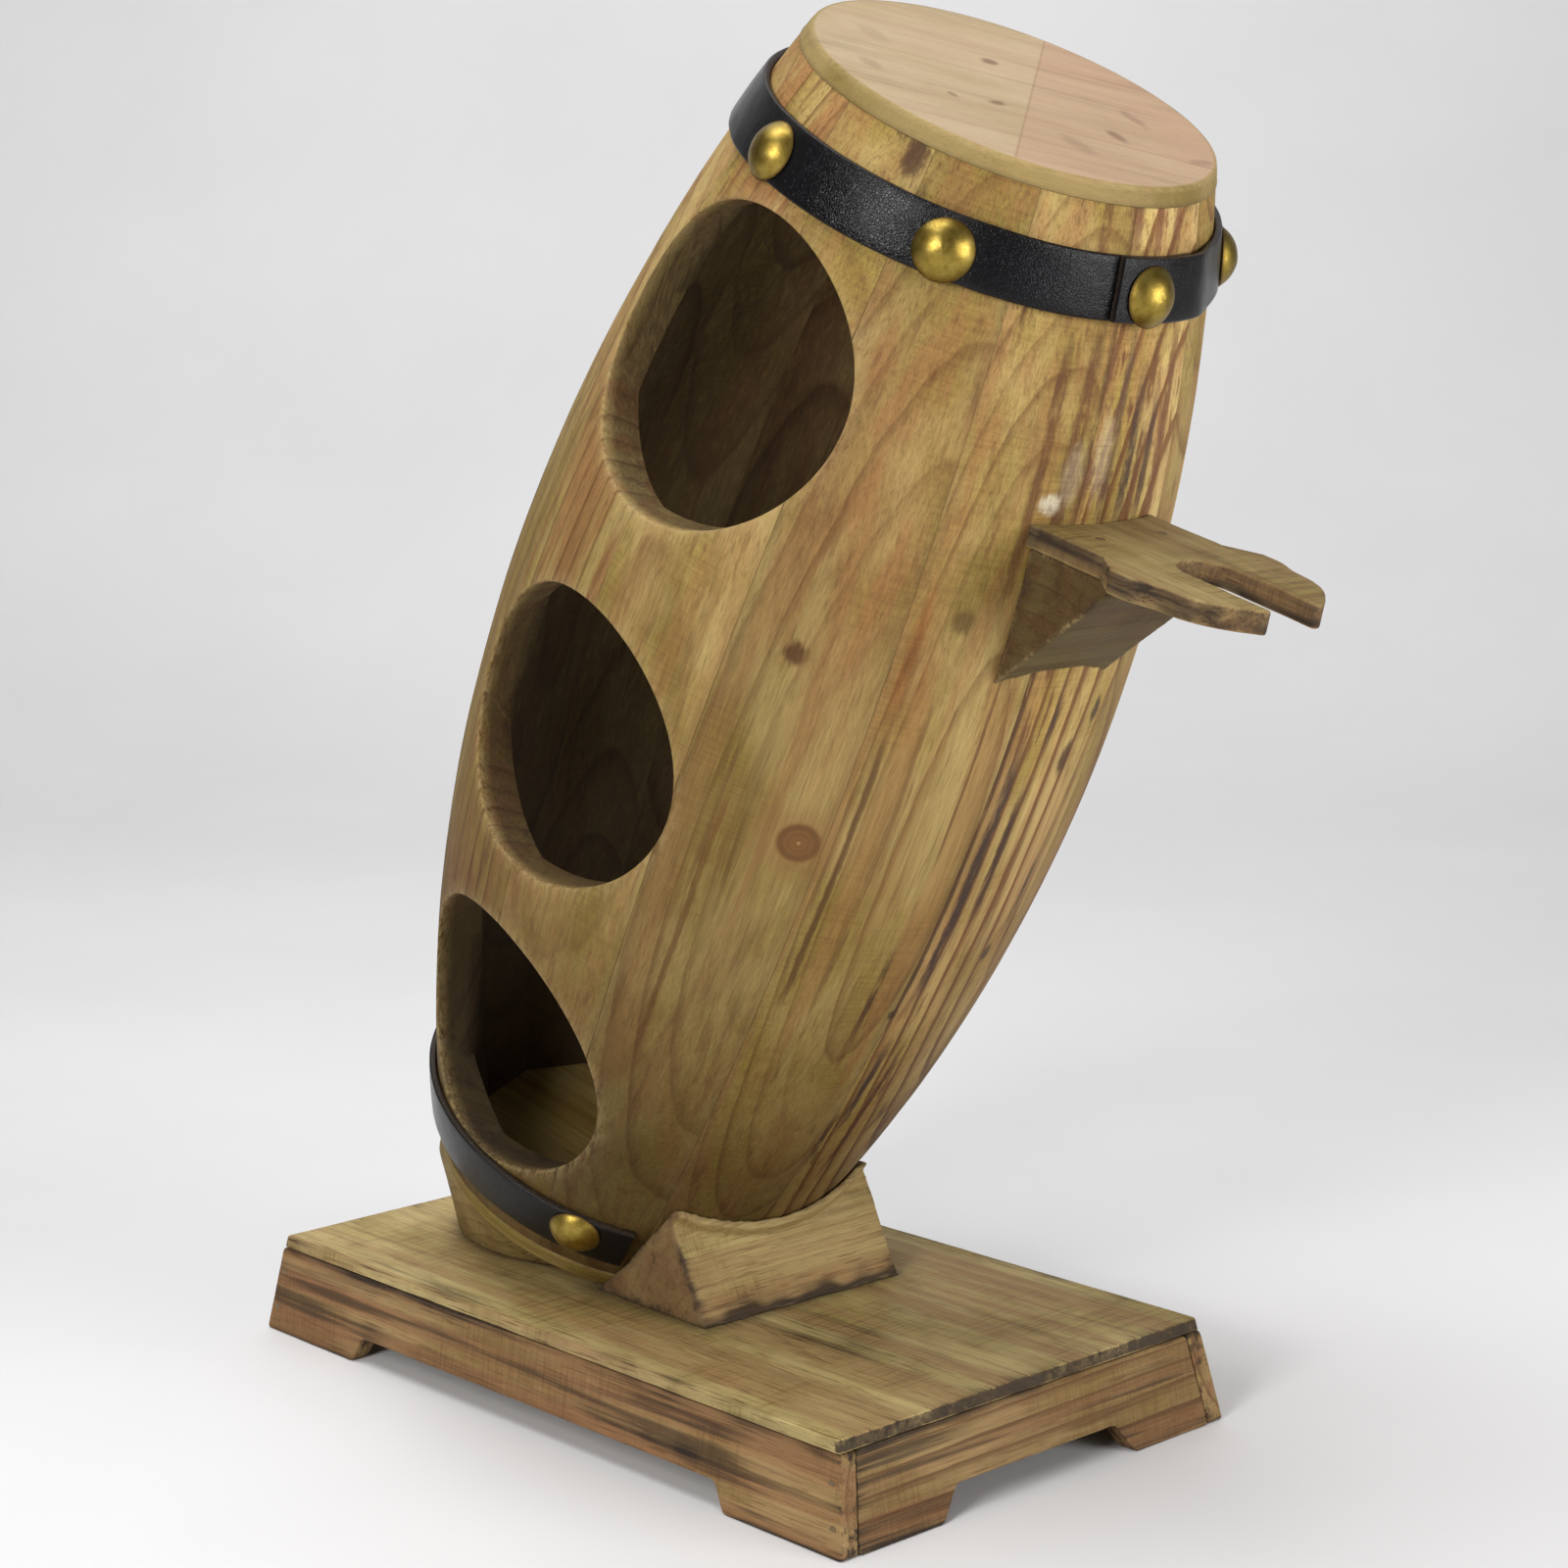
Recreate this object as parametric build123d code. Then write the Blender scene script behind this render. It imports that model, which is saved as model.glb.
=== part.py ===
from build123d import *
import os
from math import cos, radians, sin, sqrt

# Barrel wine rack for three bottles and a hanging glass. Millimetres, +Z up, feet on Z = 0.
# The barrel leans towards +X. The bottles lie along Y.

SHIFT_X = -39.6        # puts the origin under the middle of the whole rack

# ---- plinth ----
TOP_X = 240.0          # top panel, long side
TOP_Y = 133.0          # top panel, short side
PLINTH_H = 28.5        # table to the panel's upper face
PANEL_T = 3.5
FLARE_X = 5.4          # how far the foot stands out past the panel on each side
FLARE_Y = 4.4
SKIRT_T = 6.0
ARCH_LONG = (77.0, 81.5, 7.5)    # half width at the top, half width at the bottom, height
ARCH_SHORT = (29.4, 35.4, 8.6)

# ---- barrel: a coopered shell on an inclined axis ----
TILT = 28.55           # lean of the axis from upright, towards +X
AXIS_X = -57.5         # where the axis meets the panel's upper face
S_END = 24.0           # lower end of the barrel, along the axis
S_TOP = 366.3          # upper end of the barrel
S_MID = 195.15
END_R = 51.8
BELLY_R = 82.1
HEAD_TOP_T = 4.5
HEAD_BOTTOM_T = 6.0
WALL_T = 12.0
STAVES = 13
FIRST_JOINT = -6.6    # where the first joint between staves is, degrees round the axis
BOTTLE_S = (89.5, 188.0, 293.2)
BOTTLE_R = 38.9

# ---- leather straps and dome tacks ----
STRAP_T = 2.0
UPPER_STRAP = (336.8, 351.4)
LOWER_STRAP = (36.9, 51.8)
LAP_FROM = -11.0       # the lapped end of the upper strap, degrees round the axis
LAP_TO = 14.0
LOWER_GAP = (-38.5, 40.5)    # the lower strap stops at these angles each side of the cradle
UPPER_TACK_ANGLES = (-100.6, -51.3, -2.0, 47.0, 95.5, 144.0, 192.5)
LOWER_TACK_ANGLES = (-53.0, 180.0, 53.0)
DOME_R = 7.4
DOME_H = 4.3
DOME_SKIN = 1.0
SHANK_R = 0.8
SHANK_IN = 9.5

# ---- glass holder ----
FORK_SLOPE = 16.0      # the fork falls away from the barrel by this angle
FORK_X = 142.9         # reference point on the fork's upper face
FORK_Z = 248.1
FORK_T = 6.0
SLOT_HALF = 8.0
SLOT_SEAT = 38.0       # centre of the round seat from the reference point
CORBEL_HALF = 20.0
CORBEL_NOSE_X = 164.5
CORBEL_NOSE_Z = 231.8

# ---- supports under the barrel ----
CRADLE_HALF = 35.4
CRADLE_FOOT_X = 35.8
CRADLE_PEAK = (20.0, 30.6)
CRADLE_TURN = -1.9     # the cradle sits slightly askew on the panel, degrees
CRADLE_LIP = 4.5       # the scribed lip runs this far up the barrel from the sloping face
CRADLE_LIP_T = 2.4
HEEL_END_X = -21.0

# ---- fixings ----
SCREW_R = 1.5
SCREW_HEAD_R = 2.9
BRAD_R = 0.6
BRAD_HEAD_R = 1.1

SKIRT_H = PLINTH_H - PANEL_T
T = radians(TILT)
FIT_R = ((S_TOP - S_MID) ** 2 + (BELLY_R - END_R) ** 2) / (2 * (BELLY_R - END_R))

barrel_plane = Plane(
    origin=(AXIS_X, 0, PLINTH_H), x_dir=(cos(T), 0, -sin(T)), z_dir=(sin(T), 0, cos(T))
)


def radius_at(s, grow=0.0):
    """Outside radius of the barrel at distance s along its axis, grown by a skin."""
    return sqrt((FIT_R + grow) ** 2 - (s - S_MID) ** 2) - (FIT_R - BELLY_R)


def to_world(shape):
    return barrel_plane.location * shape


def arc_between(low, high, grow=0.0):
    mid = (low + high) / 2
    return ThreePointArc(
        (radius_at(low, grow), low), (radius_at(mid, grow), mid), (radius_at(high, grow), high)
    )


def turned(low, high, grow=0.0):
    """A solid slice of the turned outside, on the Z axis."""
    side = arc_between(low, high, grow)
    rim = Polyline((radius_at(high, grow), high), (0, high), (0, low), (radius_at(low, grow), low))
    return revolve(Plane.XZ * make_face([side, rim]), Axis.Z)


def band(low, high, inner, outer):
    """A ring that hugs the turned outside between two skins."""
    inside = arc_between(low, high, inner)
    outside = arc_between(low, high, outer)
    foot = Line((radius_at(low, inner), low), (radius_at(low, outer), low))
    head = Line((radius_at(high, inner), high), (radius_at(high, outer), high))
    return revolve(Plane.XZ * make_face([inside, foot, outside, head]), Axis.Z)


def wedge(start, end, reach=150.0, low=-80.0, high=420.0):
    """An upright sector between two angles less than 180 degrees apart."""
    middle = radians((start + end) / 2)
    a = radians(start)
    b = radians(end)
    points = [
        (0, 0),
        (reach * cos(a), reach * sin(a)),
        (1.5 * reach * cos(middle), 1.5 * reach * sin(middle)),
        (reach * cos(b), reach * sin(b)),
    ]
    return Pos(0, 0, low) * extrude(make_face(Polyline(*points, close=True)), high - low)


def prism_y(points, half):
    """A prism along Y from points given as (x, z)."""
    return extrude(Plane.XZ * make_face(Polyline(*points, close=True)), half, both=True)


def prism_x(points, half):
    """A prism along X from points given as (y, z)."""
    return extrude(Plane.YZ * make_face(Polyline(*points, close=True)), half, both=True)


def tack_frame(s, angle, lift):
    """A plane that lies on a skin of the barrel, with its normal pointing out."""
    n_r = sqrt(FIT_R**2 - (s - S_MID) ** 2) / FIT_R
    n_s = (s - S_MID) / FIT_R
    r = radius_at(s) + lift * n_r
    a = radians(angle)
    origin = barrel_plane.from_local_coords(Vector(r * cos(a), r * sin(a), s + lift * n_s))
    tip = barrel_plane.from_local_coords(
        Vector((r + n_r) * cos(a), (r + n_r) * sin(a), s + (lift + 1) * n_s)
    )
    return Plane(origin=origin, z_dir=tip - origin)


def dome_tack(frame, shank):
    """A pressed dome with a rolled rim and a nail through its middle."""
    ball = (DOME_R**2 + DOME_H**2) / (2 * DOME_H)
    outer = Pos(0, 0, DOME_H - ball) * Sphere(ball)
    inner = Pos(0, 0, DOME_H - ball) * Sphere(ball - DOME_SKIN)
    above = Pos(0, 0, 10) * Box(40, 40, 20)
    nail = Pos(0, 0, (DOME_H - 0.4 - shank) / 2) * Cylinder(SHANK_R, shank + DOME_H - 0.4)
    return frame.location * ((outer - inner) & above).fuse(nail)


def nail_hole(frame, depth):
    return frame.location * Pos(0, 0, -depth / 2 + 1) * Cylinder(SHANK_R, depth + 2)


def brad(frame, length):
    head = Pos(0, 0, -0.3) * Cylinder(BRAD_HEAD_R, 0.6)
    shank = Pos(0, 0, -length / 2) * Cylinder(BRAD_R, length)
    return frame.location * head.fuse(shank)


def wood_screw(x, y, length):
    """A countersunk screw, driven upward from the panel's lower face."""
    head = Pos(0, 0, 0.9) * Cone(SCREW_HEAD_R, SCREW_R, 1.8)
    cross = Pos(0, 0, 0.4) * (Box(3.2, 0.7, 0.8) + Box(0.7, 3.2, 0.8))
    shank = Pos(0, 0, length / 2) * Cylinder(SCREW_R, length)
    return Pos(x, y, SKIRT_H) * (head.fuse(shank) - cross)


def screw_bore(x, y, length):
    head = Pos(0, 0, 0.9) * Cone(SCREW_HEAD_R, SCREW_R, 1.8)
    shank = Pos(0, 0, length / 2) * Cylinder(SCREW_R, length)
    return Pos(x, y, SKIRT_H) * head.fuse(shank)


def side_x(z):
    """Half length of the plinth at height z."""
    return TOP_X / 2 + FLARE_X * (PLINTH_H - z) / PLINTH_H


def side_y(z):
    return TOP_Y / 2 + FLARE_Y * (PLINTH_H - z) / PLINTH_H


# ---- barrel as one turned blank, used for cutting the blocks that are scribed to it ----
blank = to_world(turned(0.0, S_TOP))
bores = []
for s in BOTTLE_S:
    bores.append(Pos(AXIS_X + s * sin(T), 0, PLINTH_H + s * cos(T)) * Rot(90, 0, 0) * Cylinder(BOTTLE_R, 400))

# ---- tack positions ----
upper_s = (UPPER_STRAP[0] + UPPER_STRAP[1]) / 2 - 1.2
lower_s = (LOWER_STRAP[0] + LOWER_STRAP[1]) / 2 + 1.6
upper_tacks = []
upper_holes = []
for angle in UPPER_TACK_ANGLES:
    lap = LAP_FROM < angle < LAP_TO
    seat = tack_frame(upper_s, angle, 2 * STRAP_T if lap else STRAP_T)
    reach = SHANK_IN + STRAP_T if lap else SHANK_IN
    upper_tacks.append(dome_tack(seat, reach))
    upper_holes.append(nail_hole(seat, reach))
lower_tacks = []
lower_holes = []
for angle in LOWER_TACK_ANGLES:
    seat = tack_frame(lower_s, angle, STRAP_T)
    lower_tacks.append(dome_tack(seat, SHANK_IN))
    lower_holes.append(nail_hole(seat, SHANK_IN))

# ---- staves ----
stave_low = S_END + HEAD_BOTTOM_T
stave_high = S_TOP - HEAD_TOP_T
half_angle = 180.0 / STAVES
inner_arc = arc_between(stave_low, stave_high, -WALL_T)
outer_box = Polyline(
    (radius_at(stave_high, -WALL_T), stave_high),
    (120, stave_high),
    (120, stave_low),
    (radius_at(stave_low, -WALL_T), stave_low),
)
board = extrude(Plane.XZ * make_face([inner_arc, outer_box]), 45, both=True)
one_stave = board & turned(stave_low, stave_high) & wedge(-half_angle, half_angle)
parts = {}
for k in range(STAVES):
    stave = to_world(Rot(0, 0, FIRST_JOINT + half_angle * (2 * k + 1)) * one_stave)
    for cutter in bores + upper_holes + lower_holes:
        stave = stave - cutter
    # the staves in the middle of each side are cut into four lengths by the three bores
    lengths = sorted(stave.solids(), key=lambda piece: piece.center().Z)
    if len(lengths) == 1:
        parts[f"stave_{k + 1:02d}"] = stave
        continue
    for piece, place in zip(lengths, ("bottom", "lower", "upper", "top")):
        parts[f"stave_{k + 1:02d}_{place}"] = piece

# ---- heads ----
above_panel = Pos(0, 0, PLINTH_H + 250) * Box(600, 400, 500)
parts["top_head"] = to_world(turned(stave_high, S_TOP))
parts["bottom_head"] = to_world(turned(S_END, stave_low)) & above_panel

# ---- heel block: fills the space under the lifted edge of the bottom head ----
heel_foot = Pos(-60, 0, PLINTH_H) * Ellipse(45, 33.5)
heel_crown = Pos(-50, 0, PLINTH_H + 46) * Ellipse(44, 56)
heel = loft([heel_foot, heel_crown])
heel = heel & to_world(Pos(0, 0, S_END - 60) * Cylinder(END_R - 0.4, 120))
heel = heel & Pos(HEEL_END_X - 100, 0, PLINTH_H + 50) * Box(200, 200, 100)

# ---- cradle block: scribed to the barrel on the side it leans to ----
def cradle_prism(out=0.0):
    """The cradle's triangular block, its sloping face moved out by a distance."""
    points = [
        (-19, PLINTH_H),
        (CRADLE_FOOT_X + out, PLINTH_H),
        (CRADLE_PEAK[0] + out, PLINTH_H + CRADLE_PEAK[1]),
        (-19, PLINTH_H + CRADLE_PEAK[1]),
    ]
    turn = Pos(CRADLE_FOOT_X, 0, 0) * Rot(0, 0, CRADLE_TURN) * Pos(-CRADLE_FOOT_X, 0, 0)
    return turn * prism_y(points, CRADLE_HALF)


lip = cradle_prism(CRADLE_LIP) & to_world(turned(S_END, S_TOP, CRADLE_LIP_T))
cradle = (cradle_prism() + lip) - blank

# ---- plinth ----
panel_low = Pos(0, 0, SKIRT_H) * Rectangle(2 * side_x(SKIRT_H), 2 * side_y(SKIRT_H))
panel_high = Pos(0, 0, PLINTH_H) * Rectangle(TOP_X, TOP_Y)
panel = loft([panel_low, panel_high])
skirt_low = Rectangle(2 * side_x(0), 2 * side_y(0))
skirt_high = Pos(0, 0, SKIRT_H) * Rectangle(2 * side_x(SKIRT_H), 2 * side_y(SKIRT_H))
frustum = loft([skirt_low, skirt_high])
between = prism_x(
    [
        (-(side_y(0) - SKIRT_T), 0),
        (side_y(0) - SKIRT_T, 0),
        (side_y(SKIRT_H) - SKIRT_T, SKIRT_H),
        (-(side_y(SKIRT_H) - SKIRT_T), SKIRT_H),
    ],
    160,
)
long_board = prism_x(
    [
        (-side_y(0), 0),
        (-side_y(SKIRT_H), SKIRT_H),
        (-(side_y(SKIRT_H) - SKIRT_T), SKIRT_H),
        (-(side_y(0) - SKIRT_T), 0),
    ],
    160,
)
short_board = prism_y(
    [
        (side_x(0), 0),
        (side_x(SKIRT_H), SKIRT_H),
        (side_x(SKIRT_H) - SKIRT_T, SKIRT_H),
        (side_x(0) - SKIRT_T, 0),
    ],
    100,
)
long_arch = prism_y(
    [
        (-ARCH_LONG[1], 0),
        (ARCH_LONG[1], 0),
        (ARCH_LONG[0], ARCH_LONG[2]),
        (-ARCH_LONG[0], ARCH_LONG[2]),
    ],
    100,
)
short_arch = prism_x(
    [
        (-ARCH_SHORT[1], 0),
        (ARCH_SHORT[1], 0),
        (ARCH_SHORT[0], ARCH_SHORT[2]),
        (-ARCH_SHORT[0], ARCH_SHORT[2]),
    ],
    160,
)
front = (long_board & frustum) - long_arch
right = (short_board & frustum & between) - short_arch

# ---- brads through the long boards into the ends of the short ones ----
skirt_brads = []
for way_x in (-1, 1):
    for way_y in (-1, 1):
        for z in (7.0, 17.5):
            x = way_x * (side_x(z) - SKIRT_T / 2)
            seat = Plane(origin=(x, way_y * side_y(z + 0.5), z), z_dir=(0, way_y, 0))
            skirt_brads.append(brad(seat, 19.0))
boards = {
    "skirt_front": front,
    "skirt_back": mirror(front, Plane.XZ),
    "skirt_right": right,
    "skirt_left": mirror(right, Plane.YZ),
}
for name, shape in boards.items():
    for pin in skirt_brads:
        shape = shape - pin
    parts[name] = shape
parts["skirt_brads"] = Compound(children=skirt_brads)

# ---- screws up through the panel ----
screw_places = [(-80, 0, 18.0), (-50, 0, 15.0), (20, -24, 10.5), (20, 24, 10.5)]
screws = []
for x, y, length in screw_places:
    bore = screw_bore(x, y, length)
    panel = panel - bore
    heel = heel - bore
    cradle = cradle - bore
    screws.append(wood_screw(x, y, length))
parts["plinth_panel"] = panel
parts["heel_block"] = heel
parts["cradle_block"] = cradle
parts["plinth_screws"] = Compound(children=screws)

# ---- glass holder ----
fork_plane = Plane(
    origin=(FORK_X, 0, FORK_Z),
    x_dir=(cos(radians(FORK_SLOPE)), 0, -sin(radians(FORK_SLOPE))),
    z_dir=(sin(radians(FORK_SLOPE)), 0, cos(radians(FORK_SLOPE))),
)
edge_points = [(31, 27.2), (37, 27.0), (43, 24.6), (50, 23.4), (55.5, 20.4), (60, 15.8), (63.4, 11.2)]
halves = []
for way in (1, -1):
    outline = [
        Polyline((-30, 0), (-30, way * 21.2), (22.8, way * 21.2), (31, way * 27.2)),
        Spline(*[(u, way * v) for u, v in edge_points]),
        Polyline(
            (63.4, way * 11.2), (64.2, way * 9.6), (63.6, way * SLOT_HALF), (40, way * SLOT_HALF), (40, 0), (-30, 0)
        ),
    ]
    halves.append(make_face(outline))
fork_face = halves[0] + halves[1] - Pos(SLOT_SEAT, 0) * Circle(SLOT_HALF)
fork_face = fork_face - Pos(SLOT_SEAT + 5, 0) * Rectangle(10, 2 * SLOT_HALF)
fork = fork_plane.location * extrude(fork_face, -FORK_T) - blank


def under_fork(x):
    """Height of the fork's lower face at x."""
    drop = (x - FORK_X) * sin(radians(FORK_SLOPE)) + FORK_T
    return FORK_Z - drop / cos(radians(FORK_SLOPE))


corbel_points = [
    (112, CORBEL_NOSE_Z - (CORBEL_NOSE_X - 112) * 0.64),
    (CORBEL_NOSE_X, CORBEL_NOSE_Z),
    (CORBEL_NOSE_X, under_fork(CORBEL_NOSE_X)),
    (112, under_fork(112)),
]
corbel = prism_y(corbel_points, CORBEL_HALF) - blank
fork_brads = []
for y in (-11.0, 11.0):
    seat = Plane(fork_plane.from_local_coords(Vector(12.5, y, 0)), z_dir=fork_plane.z_dir)
    pin = brad(seat, 15.0)
    fork = fork - pin
    corbel = corbel - pin
    fork_brads.append(pin)
parts["glass_fork"] = fork
parts["fork_corbel"] = corbel
parts["fork_brads"] = Compound(children=fork_brads)

# ---- straps ----
upper = band(*UPPER_STRAP, 0.0, STRAP_T)
lap = band(*UPPER_STRAP, STRAP_T, 2 * STRAP_T) & wedge(LAP_FROM, LAP_TO)
upper = to_world(upper.fuse(lap))
lower = to_world(band(*LOWER_STRAP, 0.0, STRAP_T) - wedge(*LOWER_GAP))
for cutter in upper_holes:
    upper = upper - cutter
for cutter in lower_holes:
    lower = lower - cutter
parts["upper_strap"] = upper
parts["lower_strap"] = lower
parts["upper_tacks"] = Compound(children=upper_tacks)
parts["lower_tacks"] = Compound(children=lower_tacks)

os.makedirs("parts", exist_ok=True)
for name, shape in parts.items():
    placed = Pos(SHIFT_X, 0, 0) * shape
    export_step(placed, f"parts/{name}.step")
    box = placed.bounding_box()
    print(
        f"{name:14s} solids {len(shape.solids()):2d} volume {shape.volume:10.1f}",
        f"x {box.min.X:7.1f} {box.max.X:7.1f}  y {box.min.Y:6.1f} {box.max.Y:6.1f}",
        f" z {box.min.Z:6.1f} {box.max.Z:6.1f}",
    )
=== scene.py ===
import math
import random

import bmesh
import bpy
import numpy as np
from mathutils import Matrix, Vector, noise
from mathutils.geometry import delaunay_2d_cdt


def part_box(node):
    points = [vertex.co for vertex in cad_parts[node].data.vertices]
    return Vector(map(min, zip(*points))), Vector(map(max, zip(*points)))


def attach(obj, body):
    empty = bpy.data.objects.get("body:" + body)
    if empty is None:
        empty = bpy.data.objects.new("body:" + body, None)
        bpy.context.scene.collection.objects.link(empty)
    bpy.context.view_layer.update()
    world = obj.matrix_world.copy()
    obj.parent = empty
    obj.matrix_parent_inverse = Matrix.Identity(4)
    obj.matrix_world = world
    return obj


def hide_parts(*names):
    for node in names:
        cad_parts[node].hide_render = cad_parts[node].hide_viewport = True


# Looks for the barrel wine rack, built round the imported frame. Lengths are millimetres until
# place() turns them into metres.

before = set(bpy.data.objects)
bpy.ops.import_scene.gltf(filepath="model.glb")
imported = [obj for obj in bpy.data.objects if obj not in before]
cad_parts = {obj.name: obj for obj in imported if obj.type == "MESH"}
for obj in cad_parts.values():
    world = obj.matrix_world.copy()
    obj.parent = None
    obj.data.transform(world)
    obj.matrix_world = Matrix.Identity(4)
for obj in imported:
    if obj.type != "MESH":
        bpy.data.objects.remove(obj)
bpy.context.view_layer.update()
MM = 0.001

panel_lo, panel_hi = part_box("plinth_panel")
PLINTH_X = (panel_lo.x + panel_hi.x) / 2 / MM
PLINTH_TOP = panel_hi.z / MM
SKIRT_TOP = panel_lo.z / MM
GAP = 0.05  # between two boards that touch
PLINTH_H, PLINTH_HALF_X, PLINTH_HALF_Y, FLARE_X, FLARE_Y = 28.5, 120.0, 66.5, 5.4, 4.4

# ---- the barrel's own frame: w across it, y to its side, s along it from the panel ----
TILT = math.radians(28.55)
S_END, S_TOP, S_MID = 24.0, 366.3, 195.15
END_R, BELLY_R = 51.8, 82.1
FIT_R = ((S_TOP - S_MID) ** 2 + (BELLY_R - END_R) ** 2) / (2 * (BELLY_R - END_R))
HEAD_TOP_T, HEAD_BOTTOM_T, WALL_T = 4.5, 6.0, 12.0
STAVE_LOW, STAVE_HIGH = S_END + HEAD_BOTTOM_T, S_TOP - HEAD_TOP_T
STAVES, FIRST_JOINT = 13, -6.6
STEP = 360.0 / STAVES
BORES = (89.5, 188.0, 293.2)
BORE_R = 38.9
ORIGIN = np.array((PLINTH_X - 57.5, 0.0, PLINTH_TOP))
ALONG = np.array((math.sin(TILT), 0.0, math.cos(TILT)))
ACROSS = np.array((math.cos(TILT), 0.0, -math.sin(TILT)))
SIDE = np.array((0.0, 1.0, 0.0))
X, Y, Z = (1, 0, 0), (0, 1, 0), (0, 0, 1)

# A rounded edge is swept in steps: how far each is still set back, and how far it has sunk, as
# shares of the edge's radius.
ROUNDING = [(1 - math.sin(t), 1 - math.cos(t)) for t in map(math.radians, (0.0, 30.0, 60.0, 90.0))]


def radius(s, grow=0.0):
    return np.sqrt((FIT_R + grow) ** 2 - (np.asarray(s) - S_MID) ** 2) - (FIT_R - BELLY_R)


def barrel(w, y, s):
    """A point of the barrel's frame in the row frame."""
    w, y, s = (v[..., None] for v in np.broadcast_arrays(w, y, s))
    return ORIGIN + w * ACROSS + y * SIDE + s * ALONG


def barrel_at(r, angle, s):
    """A point at a radius and an angle in degrees, the angle measured from the leaning side."""
    return barrel(r * np.cos(np.radians(angle)), r * np.sin(np.radians(angle)), s)


def barrel_parts(points):
    """The inverse of barrel(), with the distance from the axis."""
    d = points - ORIGIN
    w, y, s = d @ ACROSS, d @ SIDE, d @ ALONG
    return w, y, s, np.hypot(w, y)


# ---- meshes ----
def link(name, data):
    obj = bpy.data.objects.new(name, data)
    bpy.context.scene.collection.objects.link(obj)
    return obj


def place(name, verts, faces, attributes=None, smooth_angle=40.0):
    """Makes a mesh object from points in millimetres, with the faces turned outward."""
    mesh = bpy.data.meshes.new(name)
    faces = [list(map(int, f)) for f in faces]
    mesh.from_pydata((np.asarray(verts, float) * MM).tolist(), [], faces)
    mesh.validate()
    bm = bmesh.new()
    bm.from_mesh(mesh)
    bmesh.ops.recalc_face_normals(bm, faces=bm.faces)
    bm.to_mesh(mesh)
    bm.free()
    obj = link(name, mesh)
    put_all(mesh, attributes or {})
    mesh.shade_smooth()
    mesh.set_sharp_from_angle(angle=math.radians(smooth_angle))
    return obj


def put_all(mesh, attributes):
    """Stores one vector or colour per vertex under each name, for a material to read."""
    for key, values in attributes.items():
        values = np.asarray(values, np.float32)
        field = "vector" if values.shape[1] == 3 else "color"
        kind = "FLOAT_" + field.upper()
        mesh.attributes.new(key, kind, "POINT").data.foreach_set(field, values.ravel())


def points_of(obj):
    co = np.zeros(len(obj.data.vertices) * 3, np.float32)
    obj.data.vertices.foreach_get("co", co)
    return co.reshape(-1, 3).astype(float) / MM


def wave(points, scale, seed=0.0):
    """Smooth noise from -1 to 1 at each point."""
    moved = points / scale + np.array((seed, -seed, 2 * seed))
    return np.array([noise.noise(Vector(p)) for p in moved])


def patches(points, scale, seed):
    return wave(points, scale, seed) * 0.5 + 0.5


def within(outline, points):
    """Which points are inside a closed outline, and how far each is from it."""
    inside = np.zeros(len(points), bool)
    near = np.full(len(points), 1e9)
    for p, q in zip(outline, np.roll(outline, -1, axis=0)):
        crosses = (p[1] > points[:, 1]) != (q[1] > points[:, 1])
        with np.errstate(divide="ignore", invalid="ignore"):
            at = (q[0] - p[0]) * (points[:, 1] - p[1]) / (q[1] - p[1]) + p[0]
        inside ^= crosses & (points[:, 0] < at)
        d = q - p
        t = np.clip(((points - p) @ d) / max(d @ d, 1e-12), 0, 1)
        near = np.minimum(near, np.hypot(*(points - p - t[:, None] * d).T))
    return inside, near


def fill(outline, spacing):
    """Inner points of a 2-D outline on a loose grid, and triangles. The outline's points are
    numbered first."""
    outline = np.asarray(outline, float)
    count = len(outline)
    lo, hi = outline.min(0), outline.max(0)
    xs = np.arange(lo[0] + spacing / 2, hi[0], spacing)
    ys = np.arange(lo[1] + spacing / 2, hi[1], spacing * 0.87)
    grid = np.array([(x + (j % 2) * spacing / 2, y) for j, y in enumerate(ys) for x in xs])
    inside, near = within(outline, grid)
    inner = grid[inside & (near > spacing * 0.55)]
    every = np.vstack([outline, inner])
    edges = [(i, (i + 1) % count) for i in range(count)]
    points = [Vector(p) for p in every]
    verts, _, faces, origins, _, _ = delaunay_2d_cdt(points, edges, [], 1, 1e-7, True)
    if len(verts) != len(every):
        raise RuntimeError(f"the outline crosses itself: {len(verts)} for {len(every)}")
    order = [o[0] for o in origins]
    faces = np.array([[order[i] for i in f] for f in faces])
    kept, _ = within(outline, every[faces].mean(1))
    return inner, faces[kept].tolist()


def shell(outline_top, top, outline_bottom, bottom, rims, spacing_top, spacing_bottom):
    """A closed skin: a filled top, a chain of rims down the wall, and a filled bottom.
    top and bottom turn 2-D points into 3-D ones."""
    count = len(outline_top)
    inner_top, faces = fill(outline_top, spacing_top)
    inner_bottom, faces_bottom = fill(outline_bottom, spacing_bottom)
    wall = count + len(inner_top)
    first = wall + count * len(rims)
    for upper, lower in zip([0, *range(wall, first, count)], range(wall, first + 1, count)):
        for i in range(count):
            j = (i + 1) % count
            faces.append([upper + i, upper + j, lower + j, lower + i])
    faces += [[first + i for i in reversed(f)] for f in faces_bottom]
    top_points = top(np.vstack([outline_top, inner_top]))
    bottom_points = bottom(np.vstack([outline_bottom, inner_bottom]))
    return np.vstack([top_points, *rims, bottom_points]), faces


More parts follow.
